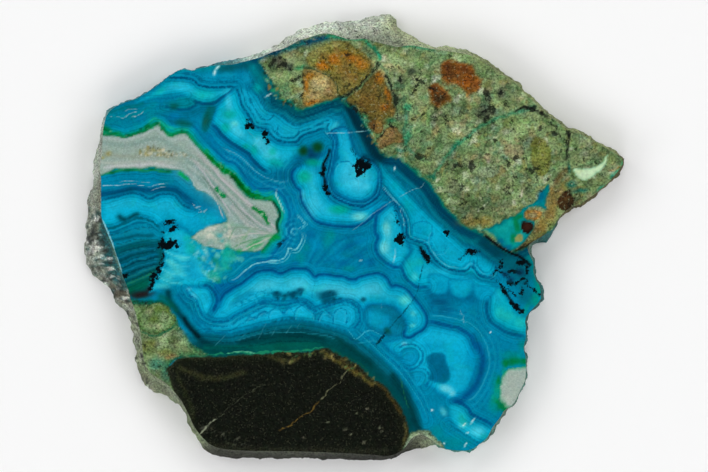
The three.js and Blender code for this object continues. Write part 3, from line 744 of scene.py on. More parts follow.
def paint_left_zone(face):
    face.lines(part(VEIN_FOOT, 17, None), (0.5, 2.2, (10, 120, 60), 0.9), (3, 1.6, (10, 140, 120), 0.75),
        (5.6, 1.4, (0, 118, 160), 0.6), (8.2, 1.2, (0, 100, 148), 0.7), (10.4, 1.1, (0, 140, 175), 0.6),
        (12.8, 1.3, (0, 98, 142), 0.7), (15.2, 1.1, (10, 145, 175), 0.6), (17.6, 1.3, (0, 100, 140), 0.6))
    face.haze("99,194 108,193 133,188 146,190 164,188 174,189 183,195 190,202", 4.5, NAVY, 0.85)
    face.fill(LEFT_LIGHT, (0, (0, 112, 150)), (1.5, (0, 142, 178)), (4, (4, 158, 192)),
        (8, (10, 168, 202)), soft=2)
    face.patches((30, 176, 206), "125 203 20 5; 165 205 16 5; 112 207 6 5", 0.5)
    face.patches((0, 106, 152), "190 204 9 5 35; 206 207 8 4 30", 0.5)
    face.patches((4, 156, 196), "212 213 12 5 20; 196 222 12 7", 0.6)
    face.stroke("99,200 105,199 128,193 140,194 149,198 159,194 172,194 181,203 186,207 191,208", 2,
        (0, 70, 106), 0.7)
    face.fill(FAN, (0, (0, 112, 142)), (3, (0, 126, 156)), (6, (2, 132, 162)), soft=3)
    face.fill("99,250 112,247 142,239 152,239 162,240 163,250 162,262 156,274 148,284 146,298 120,292 "
        "104,276", (0, (0, 104, 118)), (2.5, (0, 84, 92)), (8, (0, 86, 104)), soft=3)
    face.lines("99,228 108,228 116,226 137,218 150,220 155,224 160,228", (0, 2.2, (0, 80, 92), 0.8),
        (4.2, 1.5, (0, 96, 130), 0.7), (7.6, 1.2, (0, 112, 150), 0.6), (2.2, 1, (20, 158, 188), 0.5),
        (-3, 1, (0, 110, 140), 0.3))
    for text, strength in (("101,186 108,185 132,184 148,186 156,184 164,183 170,183", 0.75),
            ("118,181 140,181 150,182", 0.4), ("150,190 158,187 166,186", 0.4),
            ("110,116 117,117 124,117 128,114 133,112 138,111", 0.6), ("131,117 136,116 145,109", 0.7),
            ("124,111 130,109 138,109", 0.4), ("190,203 196,206 202,206", 0.5),
            ("196,212 203,211 207,208", 0.5), ("192,207 199,209 205,214", 0.4)):
        face.stroke(text, 0.7, (180, 225, 225), strength, taper=3)
    face.haze("119,217 124,219", 4.5, (0, 56, 66), 0.9)
    face.haze("129,217 134,215 137,214", 3.5, (0, 62, 72), 0.85)
    for k, (start, bend, end) in enumerate((((108, 262), (132, 252), (158, 247)),
            ((109, 270), (134, 259), (160, 253)), ((114, 276), (136, 266), (159, 260)),
            ((120, 281), (138, 273), (156, 266)), ((124, 285), (140, 278), (153, 272)))):
        path = " ".join(f"{x},{y}" for x, y in (start, bend, end))
        face.lines(path, (0, 1.6, ((8, 108, 140), (0, 112, 150), (10, 120, 150), (20, 120, 120),
            (30, 130, 90))[k], 0.7), (3, 2, ((0, 60, 76), (0, 50, 70), (0, 52, 66), (0, 60, 50),
            (0, 80, 56))[k], 0.7))
    face.haze("110,240 124,238 138,235 152,235", 2.4, (0, 62, 76), 0.6)
    face.haze("118,247 132,243 146,242 158,243", 1.6, (0, 96, 124), 0.6)
    for path in ("104,234 118,233 146,226 156,229", "106,246 120,243 134,239 150,238 160,240",
            "112,254 144,246 160,249", "118,266 134,258 148,256 160,257",
            "122,279 138,270 150,266 158,262"):
        face.lines(path, (0, 0.9, (4, 50, 66), 0.6), (1.8, 0.8, (20, 140, 160), 0.5), taper=4)
    face.patches((0, 92, 64), "140 285 12 6 -20; 128 290 6 5", 0.75)
    face.patches((0, 60, 70), "112 262 6 10 -30; 120 277 7 5", 0.6)
    face.patches((40, 20, 20), "141 294 12 4 -5; 150 289 4 4", 0.85)
    face.patches((0, 100, 96), "103 240 3 16", 0.6)


def paint_fibres(face):
    face.fill(FIBRES, (0, (0, 140, 175)), (3, (10, 164, 192)), (8, (24, 172, 200)), soft=4)
    for k in range(9):
        y = 246 + k * 4.4
        x = 165 - max(0, k - 3) * 1.8
        face.haze(f"{x:.1f},{y:.1f} {x + 10:.1f},{y + 5:.1f} {x + 24:.1f},{y + 7:.1f}", 1.1,
            (100, 212, 218) if k % 2 else (0, 128, 160), 0.6)
    face.mosaic(((100, 190, 172), (30, 150, 150), (0, 128, 160), (20, 140, 96), (120, 200, 190),
        (50, 168, 160)), 90, 31,
        "192,246 206,246 222,249 236,251 244,252 240,258 232,266 224,278 214,282 204,274 198,262",
        (1.0, 3.4), 0.5)
    face.mosaic(((170, 214, 215), (120, 205, 215), (190, 225, 222)), 40, 77,
        "190,240 200,243 208,254 214,266 218,276 208,278 202,268 194,256", (0.5, 1.3), 0.5)
    face.patches((90, 206, 205),
        "171 262 6 4 30; 178 270 8 4 20; 168 276 6 4 20; 162 286 8 3; 182 258 6 3 20", 0.5)
    face.patches((0, 140, 182), "190 268 8 8; 180 244 9 6; 196 276 8 4", 0.45)
    face.patches((10, 172, 160), "190 247 6 7; 186 238 4 3; 224 262 4 8; 226 252 3 6", 0.6)
    face.patches((0, 130, 175), "208 257 6 5 40; 208 266 7 3", 0.5)


def paint_vein(face):
    face.patches((20, 172, 165), "224 262 6 9; 230 256 6 6; 217 274 7 4", 0.6)
    face.fill(VEIN, (0, (40, 120, 85)), (0.8, (116, 158, 142)), (2.2, (150, 172, 164)),
        (5, (146, 168, 158)), soft=1.5)
    face.haze("104,143 118,144 132,144 154,138 163,140 171,146 180,150 188,156", 3.5, (126, 154, 146), 0.75)
    face.haze("96,152 112,154 128,156 156,155 170,156 182,160", 3.5, (142, 154, 138), 0.8)
    face.haze("100,162 118,162 136,161 168,162 180,164 190,172", 2.5, (168, 176, 166), 0.7)
    face.haze("104,167 120,165 136,165 152,163 168,166 180,168 190,174 198,184 208,190", 2.2,
        (192, 196, 196), 0.85)
    face.haze("104,137 118,139 131,138 144,134 155,128 163,134 172,139 186,138 196,149 206,158 218,171",
        2, (168, 184, 182), 0.75)
    streaks = ((-10, 3, (170, 168, 166), 0.6), (-6.5, 2.4, (118, 146, 134), 0.6),
        (-3, 2.6, (170, 172, 172), 0.7), (0.5, 2.4, (112, 148, 144), 0.65),
        (4, 2.6, (164, 180, 178), 0.6), (7.5, 2.4, (124, 154, 148), 0.6),
        (10.5, 2.4, (160, 180, 182), 0.6))
    face.haze("184,166 200,178 248,220 264,226", 15, (130, 160, 152), 0.7)
    face.lines("184,158 196,166 220,189 250,221 260,228 270,232", *streaks, taper=14)
    face.haze("198,178 206,185 221,203 226,212", 2.5, (112, 150, 144), 0.6)
    face.haze("232,206 250,226 262,232 270,230", 3, (168, 170, 168), 0.7)
    face.haze("226,226 236,224 254,232 262,238", 2.5, (120, 165, 140), 0.6)
    face.haze("236,240 244,234 250,230", 2.5, (150, 168, 150), 0.6)
    face.patches((90, 160, 110), "254 243 7 4 -30; 244 236 4 2 -60; 268 236 4 3", 0.6)
    # A druzy hollow in the vein: its pale grains are painted glints off the small crystals.
    face.mosaic(((222, 218, 190), (92, 96, 60), (150, 140, 70), (60, 70, 50), (200, 196, 160)), 54, 91,
        "137,153 144,148 152,146 160,148 168,150 173,154 168,157 160,155 152,153 144,155", (0.7, 1.5),
        0.85)
    face.mosaic(((200, 200, 180), (120, 130, 104)), 20, 17,
        "172,152 180,151 188,153 192,158 184,157 176,156", (0.6, 1.2), 0.7)
    face.patches((0, 150, 60), "257 243 6 4 -30; 250 247 4 3; 273 238 4 3; 239 251 4 3", 0.5)
    face.patches((205, 208, 192), "209 229 6 4 -20; 214 233 5 3; 206 234 4 3; 216 227 4 2.5", 0.85)
    face.patches((120, 160, 150), "200 236 6 3 -20; 214 241 6 3", 0.6)
    face.patches((40, 160, 165), "219 235 4 2.5 20; 222 240 2 2", 0.7)
    face.mosaic(((196, 200, 184), (150, 176, 164), (120, 160, 150), (206, 208, 192), (90, 150, 130)), 60,
        51, "192,238 206,228 222,223 230,226 232,238 226,247 212,247 200,243", (0.8, 2.4), 0.5)
    for path, colour, width in (("196,164 205,175 231,214", (182, 182, 188), 1.8),
            ("199,174 206,181 220,201", (96, 128, 116), 2.2),
            ("212,168 225,182 240,196 255,208 269,221 276,229", (184, 182, 186), 1.9),
            ("222,190 232,202 244,214 256,224", (108, 138, 124), 2), ("238,205 250,216 262,225 272,230",
            (184, 184, 188), 1.5), ("228,198 250,222 262,230", (176, 178, 176), 1.4),
            ("206,184 213,196 224,218", (172, 184, 180), 1.4), ("270,232 244,227 232,227",
            (118, 150, 130), 1.6), ("270,233 243,234 230,238", (180, 182, 178), 1.5),
            ("270,235 243,242 232,248", (80, 146, 104), 1.4), ("271,236 249,247 240,251", (176, 184, 172),
            1.4), ("238,222 232,232 228,242", (96, 150, 120), 1.2), ("250,228 242,238 236,248",
            (150, 172, 150), 1.2)):
        face.stroke(path, width, colour, 0.85, taper=6)
    face.patches((10, 150, 120), "227 248 3 6 10; 232 252 3 4", 0.55)
    face.patches((150, 146, 84), "108 153 3.5 2.4 -20; 102 157 2.5 1.6", 0.75)
    face.patches((140, 150, 124), "150 150 14 4 -6; 163 153 6 2.5", 0.5)
    rim = ("100,132 106,134 112,133 124,136 138,132 145,130 155,123 161,125 166,131 171,134 177,132 "
        "186,132 191,136")
    face.stroke(rim, 2.2, (10, 110, 62), 0.55)
    face.patches((0, 110, 50),
        "105 129 6 3 20; 147 126 4 2.5 -35; 116 133 4 1.5; 161 129 1.5 1.5; 171 134 3 2; 101 127 3 3",
        0.85)
    for text, width, colour in (("187,132 190,136 194,141 217,165 224,170 230,172", 2.6, (10, 132, 90)),
            ("203,151 209,157 223,169 230,172 248,192 256,195 264,197", 4.2, (0, 112, 30)),
            ("228,172 234,177 239,184 245,190 251,194", 4, (0, 84, 20)),
            ("256,196 264,198 271,197 275,194", 3.4, (20, 140, 80))):
        face.stroke(text, width, colour, 0.88, taper=8)
    face.stroke("205,150 214,158 224,166 232,170 238,175 243,183 250,189 258,192 268,193 274,190", 1.4,
        (20, 165, 120), 0.7)
    face.mosaic(((0, 60, 24), (10, 150, 90), (0, 96, 40), (80, 150, 110)), 90, 63, "204,149 212,155 "
        "222,164 232,170 240,179 250,188 264,193 264,198 252,197 242,190 234,181 226,175 216,168 "
        "206,158", (0.6, 1.6), 0.7)
    face.mosaic(((0, 70, 40), (10, 150, 96), (120, 170, 140)), 60, 64, "100,129 118,132 138,129 150,122 "
        "160,121 170,131 186,129 190,134 170,136 158,127 146,130 130,136 102,133", (0.6, 1.4), 0.6)
    face.stroke("176,172 181,174 189,181", 3.6, (0, 150, 70), 0.85)
    face.stroke("104,174 112,172 122,170 146,170 153,169 162,171 172,172", 2.6, (20, 126, 60), 0.8)
    face.patches((0, 84, 40), "128 170 5 1.6; 112 172 3 1.5; 152 168.5 4 1.4; 168 171 4 1.4", 0.7)
    face.stroke("271,200 275,205 279,211 279,216 277,222 277,228 279,233", 2.6, (2, 60, 44), 0.9)
    face.stroke("274,197 278,203 282,214 280,221 279,227", 2.2, (20, 160, 120), 0.7)
    face.stroke("276,190 276,196 283,212", 1.4, (150, 218, 212), 0.85)
    face.stroke("272,234 277,237 282,238", 3.6, (0, 140, 60), 0.8)
    face.stroke("276,247 280,243 285,238", 2.2, (6, 26, 30), 0.9)
    for island, colour in (("214,187 217,186 219,190 226,194 224,198 220,197 217,193 213,190",
            (6, 128, 66)),
            ("251,207 254,206 259,209 264,211 267,215 268,220 271,223 267,224 263,219 255,211 251,209",
            (0, 122, 50))):
        face.fill(island, (0, (60, 140, 100)), (1, colour))
    face.patches((190, 205, 185), "261 214 1.5 1.5; 219 192 1.3 1.5", 0.8)
    face.stroke("188,176 192,181 195,186 200,189 206,190 211,195", 1.6, (170, 195, 200), 0.7)
    face.stroke("190,164 196,168 194,174 198,180", 1.2, (178, 198, 200), 0.6)


def paint_dark_clast(face):
    edge = depth_inside(BLACK, face.xy, 30)
    inside = soft_step(0.5 + edge / 1.4)
    face.by_depth(edge, [(0, (40, 44, 26)), (2, (32, 36, 24)), (5, (22, 26, 18)), (12, (19, 22, 17))],
        inside)
    face.haze("180,368 192,373 204,377 216,378 230,376 244,372", 4, (70, 72, 40), 0.5)
    face.haze("176,372 188,400 194,418", 3, (50, 56, 32), 0.5)
    face.haze("270,356 288,361 298,358", 3, (86, 84, 44), 0.55)
    face.haze("322,352 332,358 362,377 372,384", 2.6, (112, 102, 46), 0.7)
    face.haze("340,360 352,368 364,376", 2, (120, 92, 36), 0.4)
    face.haze("374,382 382,388 389,396 400,414", 2, (100, 74, 30), 0.5)
    face.haze("404,424 405,434 403,444", 2, (120, 112, 60), 0.5)
    face.haze("200,444 240,449 385,451", 5, (44, 46, 34), 0.6)
    face.mosaic(((120, 112, 60), (70, 84, 44), (150, 140, 84), (30, 34, 22), (60, 110, 70)), 110, 71,
        "268,352 282,351 296,353 300,358 290,363 278,360 322,350 336,353 352,362 368,372 378,382 "
        "370,384 356,374 340,364 326,357", (0.6, 1.8), 0.6)
    face.mosaic(((90, 96, 76), (120, 124, 104), (60, 66, 50)), 60, 72,
        "196,428 208,424 222,430 240,436 250,446 236,448 214,442 200,438", (0.4, 1.1), 0.4)
    face.stroke("205,354 225,353 250,353 280,351 296,351 318,348 325,346", 1.7, (30, 140, 100), 0.75)
    face.stroke("225,353 240,352 256,352", 1.2, (90, 190, 150), 0.8)
    face.stroke("325,346 333,350 360,364 368,371", 1.3, (20, 90, 60), 0.6)
    for vein, width, colour, strength in (("197,437 212,421 217,418", 1.1, (150, 158, 132), 0.8),
            ("217,418 227,409 237,400 250,391 260,386 270,383", 0.6, (92, 98, 78), 0.5),
            ("278,430 290,424 300,417 310,411 315,406 320,400", 0.9, (112, 90, 40), 0.75),
            ("320,400 324,394 330,388 338,383 342,377 348,368", 0.8, (136, 138, 104), 0.7)):
        face.stroke(vein, width, colour, strength, taper=4)
    face.patches((120, 122, 100), "356 412 1.5 1; 367 409 1.3 1; 345 429 1.4 1; 349 433 1.2 1; "
        "381 430 1.6 1.2; 364 442 1.5 1; 304 437 1.2 1; 327 422 1.2 1; 379 427 1 1", 0.85)


def paint_host(face):
    edge = depth_inside(HOST, face.xy, 20)
    face.by_depth(edge, [(0, (10, 84, 66)), (3, (60, 104, 66)), (7, (98, 124, 80)), (14, (108, 130, 88))],
        soft_step(0.5 + edge / 2))
    face.haze("132,302 146,301 160,302 168,306", 3, (0, 84, 66), 0.85)
    face.patches((110, 116, 56), "147 347 10 5; 150 342 7 3; 165 352 10 3", 0.6)
    face.patches((150, 170, 132), "163 343 6 5; 183 341 6 4; 165 336 7 3; 180 333 5 3", 0.65)
    face.patches((60, 74, 40), "150 351 6 3; 172 340 4 4; 150 349 5 1.5", 0.5)
    face.patches((170, 104, 62), "173 355 4 2.5; 168 357 3 2", 0.45)
    face.patches((30, 100, 90), "157 363 8 6; 166 372 6 8", 0.6)
    face.fill(HOST_CLAST, (0, (56, 84, 40)), (1.5, (84, 116, 66)), (6, (104, 136, 88)), soft=1.6)
    face.patches((160, 176, 130), "148 311 4 3; 164 318 5 5; 158 326 6 3; 148 326 4 3", 0.6)
    face.patches((96, 116, 44), "158 309 7 4; 153 319 5 4; 167 311 4 3", 0.6)
    face.stroke("139,331 147,334 155,335 170,328 175,323", 2.2, (0, 92, 60), 0.8)
    face.stroke("175,323 176,318 167,308", 1.4, (30, 140, 104), 0.6)
    face.stroke("150,304 156,304 162,306", 1.2, (150, 186, 130), 0.7)
    face.stroke("144,314 148,319", 1, (50, 50, 36), 0.8)


def paint_grey_corner(face):
    face.fill(GREY_PATCH, (0, (20, 140, 90)), (1.4, (120, 172, 150)), (3, (158, 180, 168)),
        (8, (160, 176, 166)), soft=1.6)
    face.patches((0, 118, 50),
        "505 363 4 3; 514 361 8 4; 524 362 4 4; 498 379 2 4; 501 406 4 5; 497 401 3 3; 505 409 3 3", 0.85)
    face.patches((10, 150, 110), "503 370 3 4; 497 388 2 7; 494 398 4 5", 0.6)
    face.patches((190, 196, 186), "508 398 4 5", 0.5)
    edge = depth_inside(PALE_DENT, face.xy, 8)
    face.by_depth(edge, [(0, (60, 90, 60)), (2, (120, 140, 112)), (6, (150, 165, 140))],
        soft_step(0.5 + edge / 2))


# The breccia's pieces: outline, rim colour, body colour, heart colour
CLASTS = (("303,71 306,67 318,69 333,79 337,86 338,94 336,98 315,102 305,106 302,100 303,90 302,82",
    (104, 92, 44), (144, 124, 68), (166, 156, 104)), ("308,64 306,57 311,51 329,41 340,40 350,43 358,50 "
    "366,54 371,61 371,70 366,78 352,90 345,92 338,95 333,79 319,69 312,66", (72, 72, 34), (112, 104, 44),
    (124, 108, 46)), ("371,76 375,71 379,71 383,76 385,83 394,106 394,114 390,121 377,126 370,121 "
    "355,107 346,99 352,93 359,88 366,81", (66, 60, 30), (100, 86, 38), (112, 92, 40)),
    ("371,119 378,120 383,124 381,131 376,133 371,129 368,124", (68, 58, 26), (112, 84, 40),
    (124, 92, 44)), ("376,141 379,136 390,126 396,127 400,131 403,137 402,142 394,143 386,145 379,148",
    (62, 52, 26), (124, 102, 58), (146, 120, 76)), ("443,199 450,196 458,198 460,203 453,206 446,204",
    (90, 110, 60), (142, 164, 118), (158, 178, 136)),
    ("443,182 449,178 456,180 460,185 458,191 451,193 444,190", (80, 96, 60), (112, 126, 86),
    (126, 138, 98)), ("477,168 484,165 491,167 495,171 491,176 483,177 478,174", (96, 120, 84),
    (136, 156, 122), (150, 168, 136)), ("503,147 509,142 517,143 524,148 523,156 515,160 507,157",
    (92, 98, 62), (132, 130, 90), (146, 142, 104)),
    ("530,143 537,137 545,141 550,151 550,164 545,174 538,175 533,166 530,154", (92, 96, 44),
    (108, 114, 52), (120, 126, 58)),)


RED_PIECES = (("440,64 447,59 456,60 471,66 474,73 472,81 468,88 461,87 455,83 449,84 443,80 440,72",
    (116, 74, 26), (122, 66, 20), (96, 52, 20)),
    ("461,76 468,72 475,74 481,80 480,88 474,93 466,92 461,86", (110, 74, 28), (124, 68, 20),
    (118, 64, 20)), ("430,86 436,82 442,86 450,98 439,108 433,105 429,97", (128, 82, 28), (104, 58, 20),
    (58, 38, 18)),)


def paint_breccia(face):
    edge = depth_inside(BRECCIA, face.xy, 20)
    inside = soft_step(0.5 + edge / 1.4)
    face.by_depth(edge, [(0, (20, 92, 66)), (1.5, (74, 112, 76)), (4, (100, 126, 80)),
        (12, (112, 134, 88))], inside)
    for size, seed, ink, least in ((16, 11, (146, 164, 116), 0.1), (11, 23, (84, 118, 66), 0.15),
            (9, 37, (130, 120, 66), 0.25), (7, 41, (160, 160, 124), 0.3), (8, 53, (60, 88, 52), 0.3)):
        face.lay(0.55 * inside * soft_step((value_noise(face.xy, size, seed) - least) / 0.25), ink)
    face.mosaic(((164, 178, 144), (138, 158, 112), (92, 120, 82), (62, 84, 56), (150, 142, 98),
        (116, 146, 116), (190, 200, 172), (104, 112, 60), (70, 110, 80)), 900, 29, BRECCIA_PART,
        (0.9, 3.8), 0.62)
    face.patches((84, 128, 84), "285 92 8 6; 404 110 8 12; 450 145 20 10; 420 135 10 12; 440 60 16 8", 0.45)
    face.patches((140, 164, 106), "296 64 9 8; 286 76 8 8; 420 98 14 12; 520 118 16 12; 500 100 12 8; "
        "415 60 10 6; 465 56 12 4; 512 96 8 6", 0.55)
    face.patches((84, 100, 66),
        "480 210 16 8; 500 200 14 10; 465 205 10 8; 530 190 8 8; 590 155 16 8; 600 180 12 8", 0.5)
    face.patches((50, 56, 46),
        "279 62 10 6 20; 288 66 5 4; 484 112 9 7; 487 95 4 8; 500 92 4 4; 400 79 3 4; 411 71 4 4", 0.75)
    face.patches((132, 106, 46), "470 222 14 4; 486 221 8 5; 560 190 6 10 30", 0.6)
    face.patches((96, 80, 44),
        "560 176 3 12 35; 552 196 5 12; 548 212 5 8 30; 538 228 10 5 -40; 524 243 8 4 -35", 0.8)
    face.patches((140, 104, 50), "551 190 2 5; 546 206 2 5; 541 220 3 3; 578 188 8 2 -15", 0.6)
    face.patches((6, 98, 88),
        "570 184 5 3; 580 190 8 2.5 -10; 601 188 6 2.5 -25; 613 176 4 2.5 -35; 568 168 2 5", 0.7)
    face.patches((20, 150, 110), "617 170 5 2 -30; 622 163 2 4 20", 0.7)
    face.patches((124, 150, 88), "612 158 6 4", 0.7)
    face.patches((150, 104, 44), "611 170 3 1 -25; 618 167 3 1 -25", 0.7)
    face.haze("432,178 440,164 449,152 462,140 492,120 520,111 534,106", 2.6, (50, 132, 96), 0.75)
    face.haze("404,108 406,122 404,136 410,150 420,158", 2.4, (40, 128, 92), 0.6)
    face.haze("377,62 384,70 389,82 397,110 401,124", 2, (60, 96, 70), 0.6)
    for outline, rim, body, heart in CLASTS:
        face.fill(outline, (0, rim), (1.4, body), (6, body), (12, heart), soft=1.8, strength=0.92)
    for outline, rim, body, heart in RED_PIECES:
        face.fill(outline, (0, rim), (2.5, body), (6, heart), soft=4.5, strength=0.9)
    face.mosaic(((160, 92, 30), (84, 48, 20), (136, 100, 50)), 60, 83,
        "430,84 440,64 456,60 474,68 481,82 472,94 450,96 444,108 432,106", (0.7, 1.8), 0.5)
    face.patches((176, 160, 112), "320 86 10 9; 324 80 7 5; 313 96 6 5", 0.6)
    face.patches((172, 100, 20), "309 75 5 4; 306 84 2.5 8; 322 64 7 5 20; 334 59 8 5 30; "
        "311 102 7 2.5 -18; 350 56 10 5 20; 362 64 6 7; 379 77 4 6 10; 387 94 2.5 8 -15; 384 107 5 4; "
        "325 66 8 3 20", 0.75)
    face.patches((116, 126, 66), "318 48 8 5 -30; 330 43 8 3; 312 60 4 6; 344 82 8 5", 0.5)
    face.mosaic(((150, 120, 50), (92, 72, 28), (170, 140, 80), (120, 110, 56), (70, 60, 30)), 150, 19,
        "304,68 310,52 330,42 352,45 370,60 388,80 393,108 380,124 360,110 340,92 312,102 304,96",
        (0.8, 2.4), 0.35)
    for strip in ("262,66 270,80 277,87 281,98 292,98 299,106 305,105 299,111 288,104 276,101 272,90 "
            "263,80", "336,96 346,97 356,104 362,116 372,132 380,150 376,152 366,133 358,117 350,107"):
        face.mosaic(((8, 50, 36), (30, 140, 96), (130, 176, 140), (20, 30, 20), (150, 120, 60)), 70, 53,
            strip, (0.6, 1.7), 0.75)
    face.patches((146, 146, 84), "313 56 6 5 -30; 320 50 8 4 -25; 336 44 8 3", 0.7)
    face.patches((104, 76, 28), "352 78 6 4; 344 70 8 3; 362 100 8 5; 366 108 8 5; 356 70 4 3", 0.5)
    face.patches((140, 120, 70), "346 80 5 4; 340 88 4 4; 358 97 5 4", 0.5)
    face.fill("556,201 562,192 568,191 575,199 570,208 563,210 558,207", (0, (34, 26, 14)),
        (2, (58, 40, 20)))
    face.patches((92, 70, 36), "566 198 4 3", 0.5)
    face.patches((18, 120, 88), "407 137 3 10 20; 455 145 3 7 30; 418 172 6 3 45; 430 176 6 2 0; "
        "400 150 6 2; 407 108 3 4 30; 390 120 6 3; 345 103 8 2.5 25; 300 67 6 2 -20; 365 118 3 6 -30",
        0.6)
    face.haze("254,59 264,55 312,40 326,37", 4.4, (0, 66, 96), 0.95)
    face.haze("282,50 294,46 304,43", 2, (40, 150, 110), 0.5)
    face.haze("326,36 342,38 356,39 364,40 376,51 379,58", 2.2, (10, 128, 92), 0.85)
    face.haze("392,43 412,46 434,50", 2, (30, 130, 104), 0.6)


def paint_breccia_marks(face):
    for crack, width in (("303,71 302,75 296,78 286,82", 2.2), ("337,97 344,95 353,90 375,68 379,62",
            2.0), ("383,67 386,75 392,92 396,110 398,119", 2.0), ("379,58 377,63 370,71", 1.8),
            ("421,81 413,91 409,96", 1.5), ("412,76 421,81 435,91", 1.5),
            ("513,112 519,109 525,107 533,108 541,112 548,118", 2.4), ("569,131 568,138 568,146 565,160",
            2.6), ("486,87 488,94 489,100 487,106 491,112 495,116", 2.2), ("477,112 482,110 487,108",
            1.6), ("480,120 486,118 492,119", 1.6), ("460,192 462,187 461,181 459,178", 1.6),
            ("457,206 462,203 467,201", 1.8), ("505,158 508,163 507,168", 1.5),
            ("521,152 526,156 525,162", 1.5), ("401,141 405,147 404,153", 2), ("376,141 380,135 386,129",
            1.6), ("398,62 392,66 386,69", 1.2), ("487,87 488,93 486,99 490,104 491,110", 1.2),
            ("478,107 484,105 490,107 496,112", 1.1), ("480,114 486,111 493,115", 1.1),
            ("484,105 482,112 486,120", 1.1), ("490,104 494,109 492,117", 1), ("345,101 358,112 362,118",
            1.4), ("352,99 360,108 368,116", 1), ("304,84 301,78", 1.4), ("372,131 375,124 381,121", 1.2),
            ("388,120 392,126 398,127", 1.3), ("430,108 424,112 420,118", 1), ("515,70 522,78 527,88", 1),
            ("448,110 444,118 446,126", 1), ("545,118 552,124 558,131", 1.6), ("558,134 563,140 568,146",
            1.5), ("300,100 303,92 302,84", 1.2), ("500,186 506,190 510,196", 1.2)):
        face.stroke(crack, width, (22, 26, 20), 0.9, taper=4)
    face.stroke("303,67 309,67 316,69 323,73 330,76 335,81 337,88 338,95", 1.5, (26, 60, 38), 0.8)
    face.stroke("363,118 375,139 378,146", 0.9, (120, 196, 160), 0.6)
    face.stroke("377,57 374,62 371,67", 1, (150, 60, 30), 0.5)
    face.blots((20, 24, 20), "420 157 3 1.6; 423 155 2; 457 165 2.6 1.8; 471 162 2.6 0.7; 470 167 2.6; "
        "457 156 1.8; 555 133 3.6; 568 134 2.6; 566 150 1.8; 530 108 2.6 2; 515 158 2.4 1.6; 522 160 2; "
        "514 176 1.8 1.5; 530 170 1.8 2; 399 80 2.2; 395 99 3.4; 396 104 2; 482 208 1.4; "
        "508 186 1.8 1.4; 537 168 1.3 2; 446 120 1.6; 505 103 1.8; 462 186 1.8; 421 81 2.6; "
        "274 60 2.4 1.6; 280 58 2.2; 284 64 2.6; 278 66 1.8; 270 64 1.6; 290 68 1.8; 486 92 2.4; "
        "490 104 2; 480 114 2.6; 488 116 2.4; 484 122 2; 500 92 2.6; 540 112 2.4; 347 55 1.4 2; "
        "349 84 1.2; 583 160 1.6; 592 150 1.4; 575 148 1.4; 548 178 1.8; 466 136 1.4; 438 130 1.4; "
        "412 118 1.6; 428 148 1.6; 452 118 1.6; 472 146 1.4; 494 140 1.6; 540 128 1.4", 0.85, 0.5)
    face.pebbles = cover(PEBBLE, face.xy, 3)
    face.fill(WEDGE, (0, (0, 92, 84)), (1.5, (0, 122, 126)), (4, (6, 142, 142)), soft=1.6)
    face.patches((0, 92, 128), "541 197 4 7 10; 506 247 6 3; 500 241 5 3", 0.75)
    face.patches((20, 170, 160), "504 228 6 4; 496 230 4 3; 510 222 4 3", 0.5)
    face.patches((4, 116, 60), "516 224 3 9 -8; 513 238 3 5; 519 216 3 3", 0.85)
    face.patches((130, 160, 100), "487 232 4 1.8 40; 492 236 4 1.6 40", 0.85)
    face.fill(PEBBLE, (0, (110, 84, 36)), (1.5, (164, 130, 66)), (4, (140, 130, 88)))
    face.patches((190, 130, 50), "528 211 2 1.5; 535 218 4 1.5; 539 213 2 2", 0.7)
    face.fill("521,223 524,220 533,224 532,229 528,233 523,232 520,228", (0, (24, 16, 12)),
        (1.6, (38, 22, 16)), (4, (52, 30, 22)))
    face.fill("516,236 520,234 523,237 522,241 518,242 515,240", (130, 140, 84))
    face.stroke("513,252 528,244 546,233", 2.4, (26, 22, 12), 0.85)
    face.patches((134, 110, 50), "545 224 12 6 -45; 553 208 5 12; 538 236 9 3 -35", 0.6)
    face.fill(SWOOSH, (0, (130, 190, 150)), (1.4, (184, 214, 172)), (4, (196, 222, 184)))
    face.patches((40, 70, 40), "571 172 1.2 6 -20; 586 180 8 1.4 -12", 0.5)
    face.patches((70, 120, 70), "590 163 10 2 -15", 0.5)
    face.patches((214, 214, 196), "521 193 1.2 4 25; 514 203 2 3; 484 205 1.6 1.4; 478 210 1 2", 0.7)


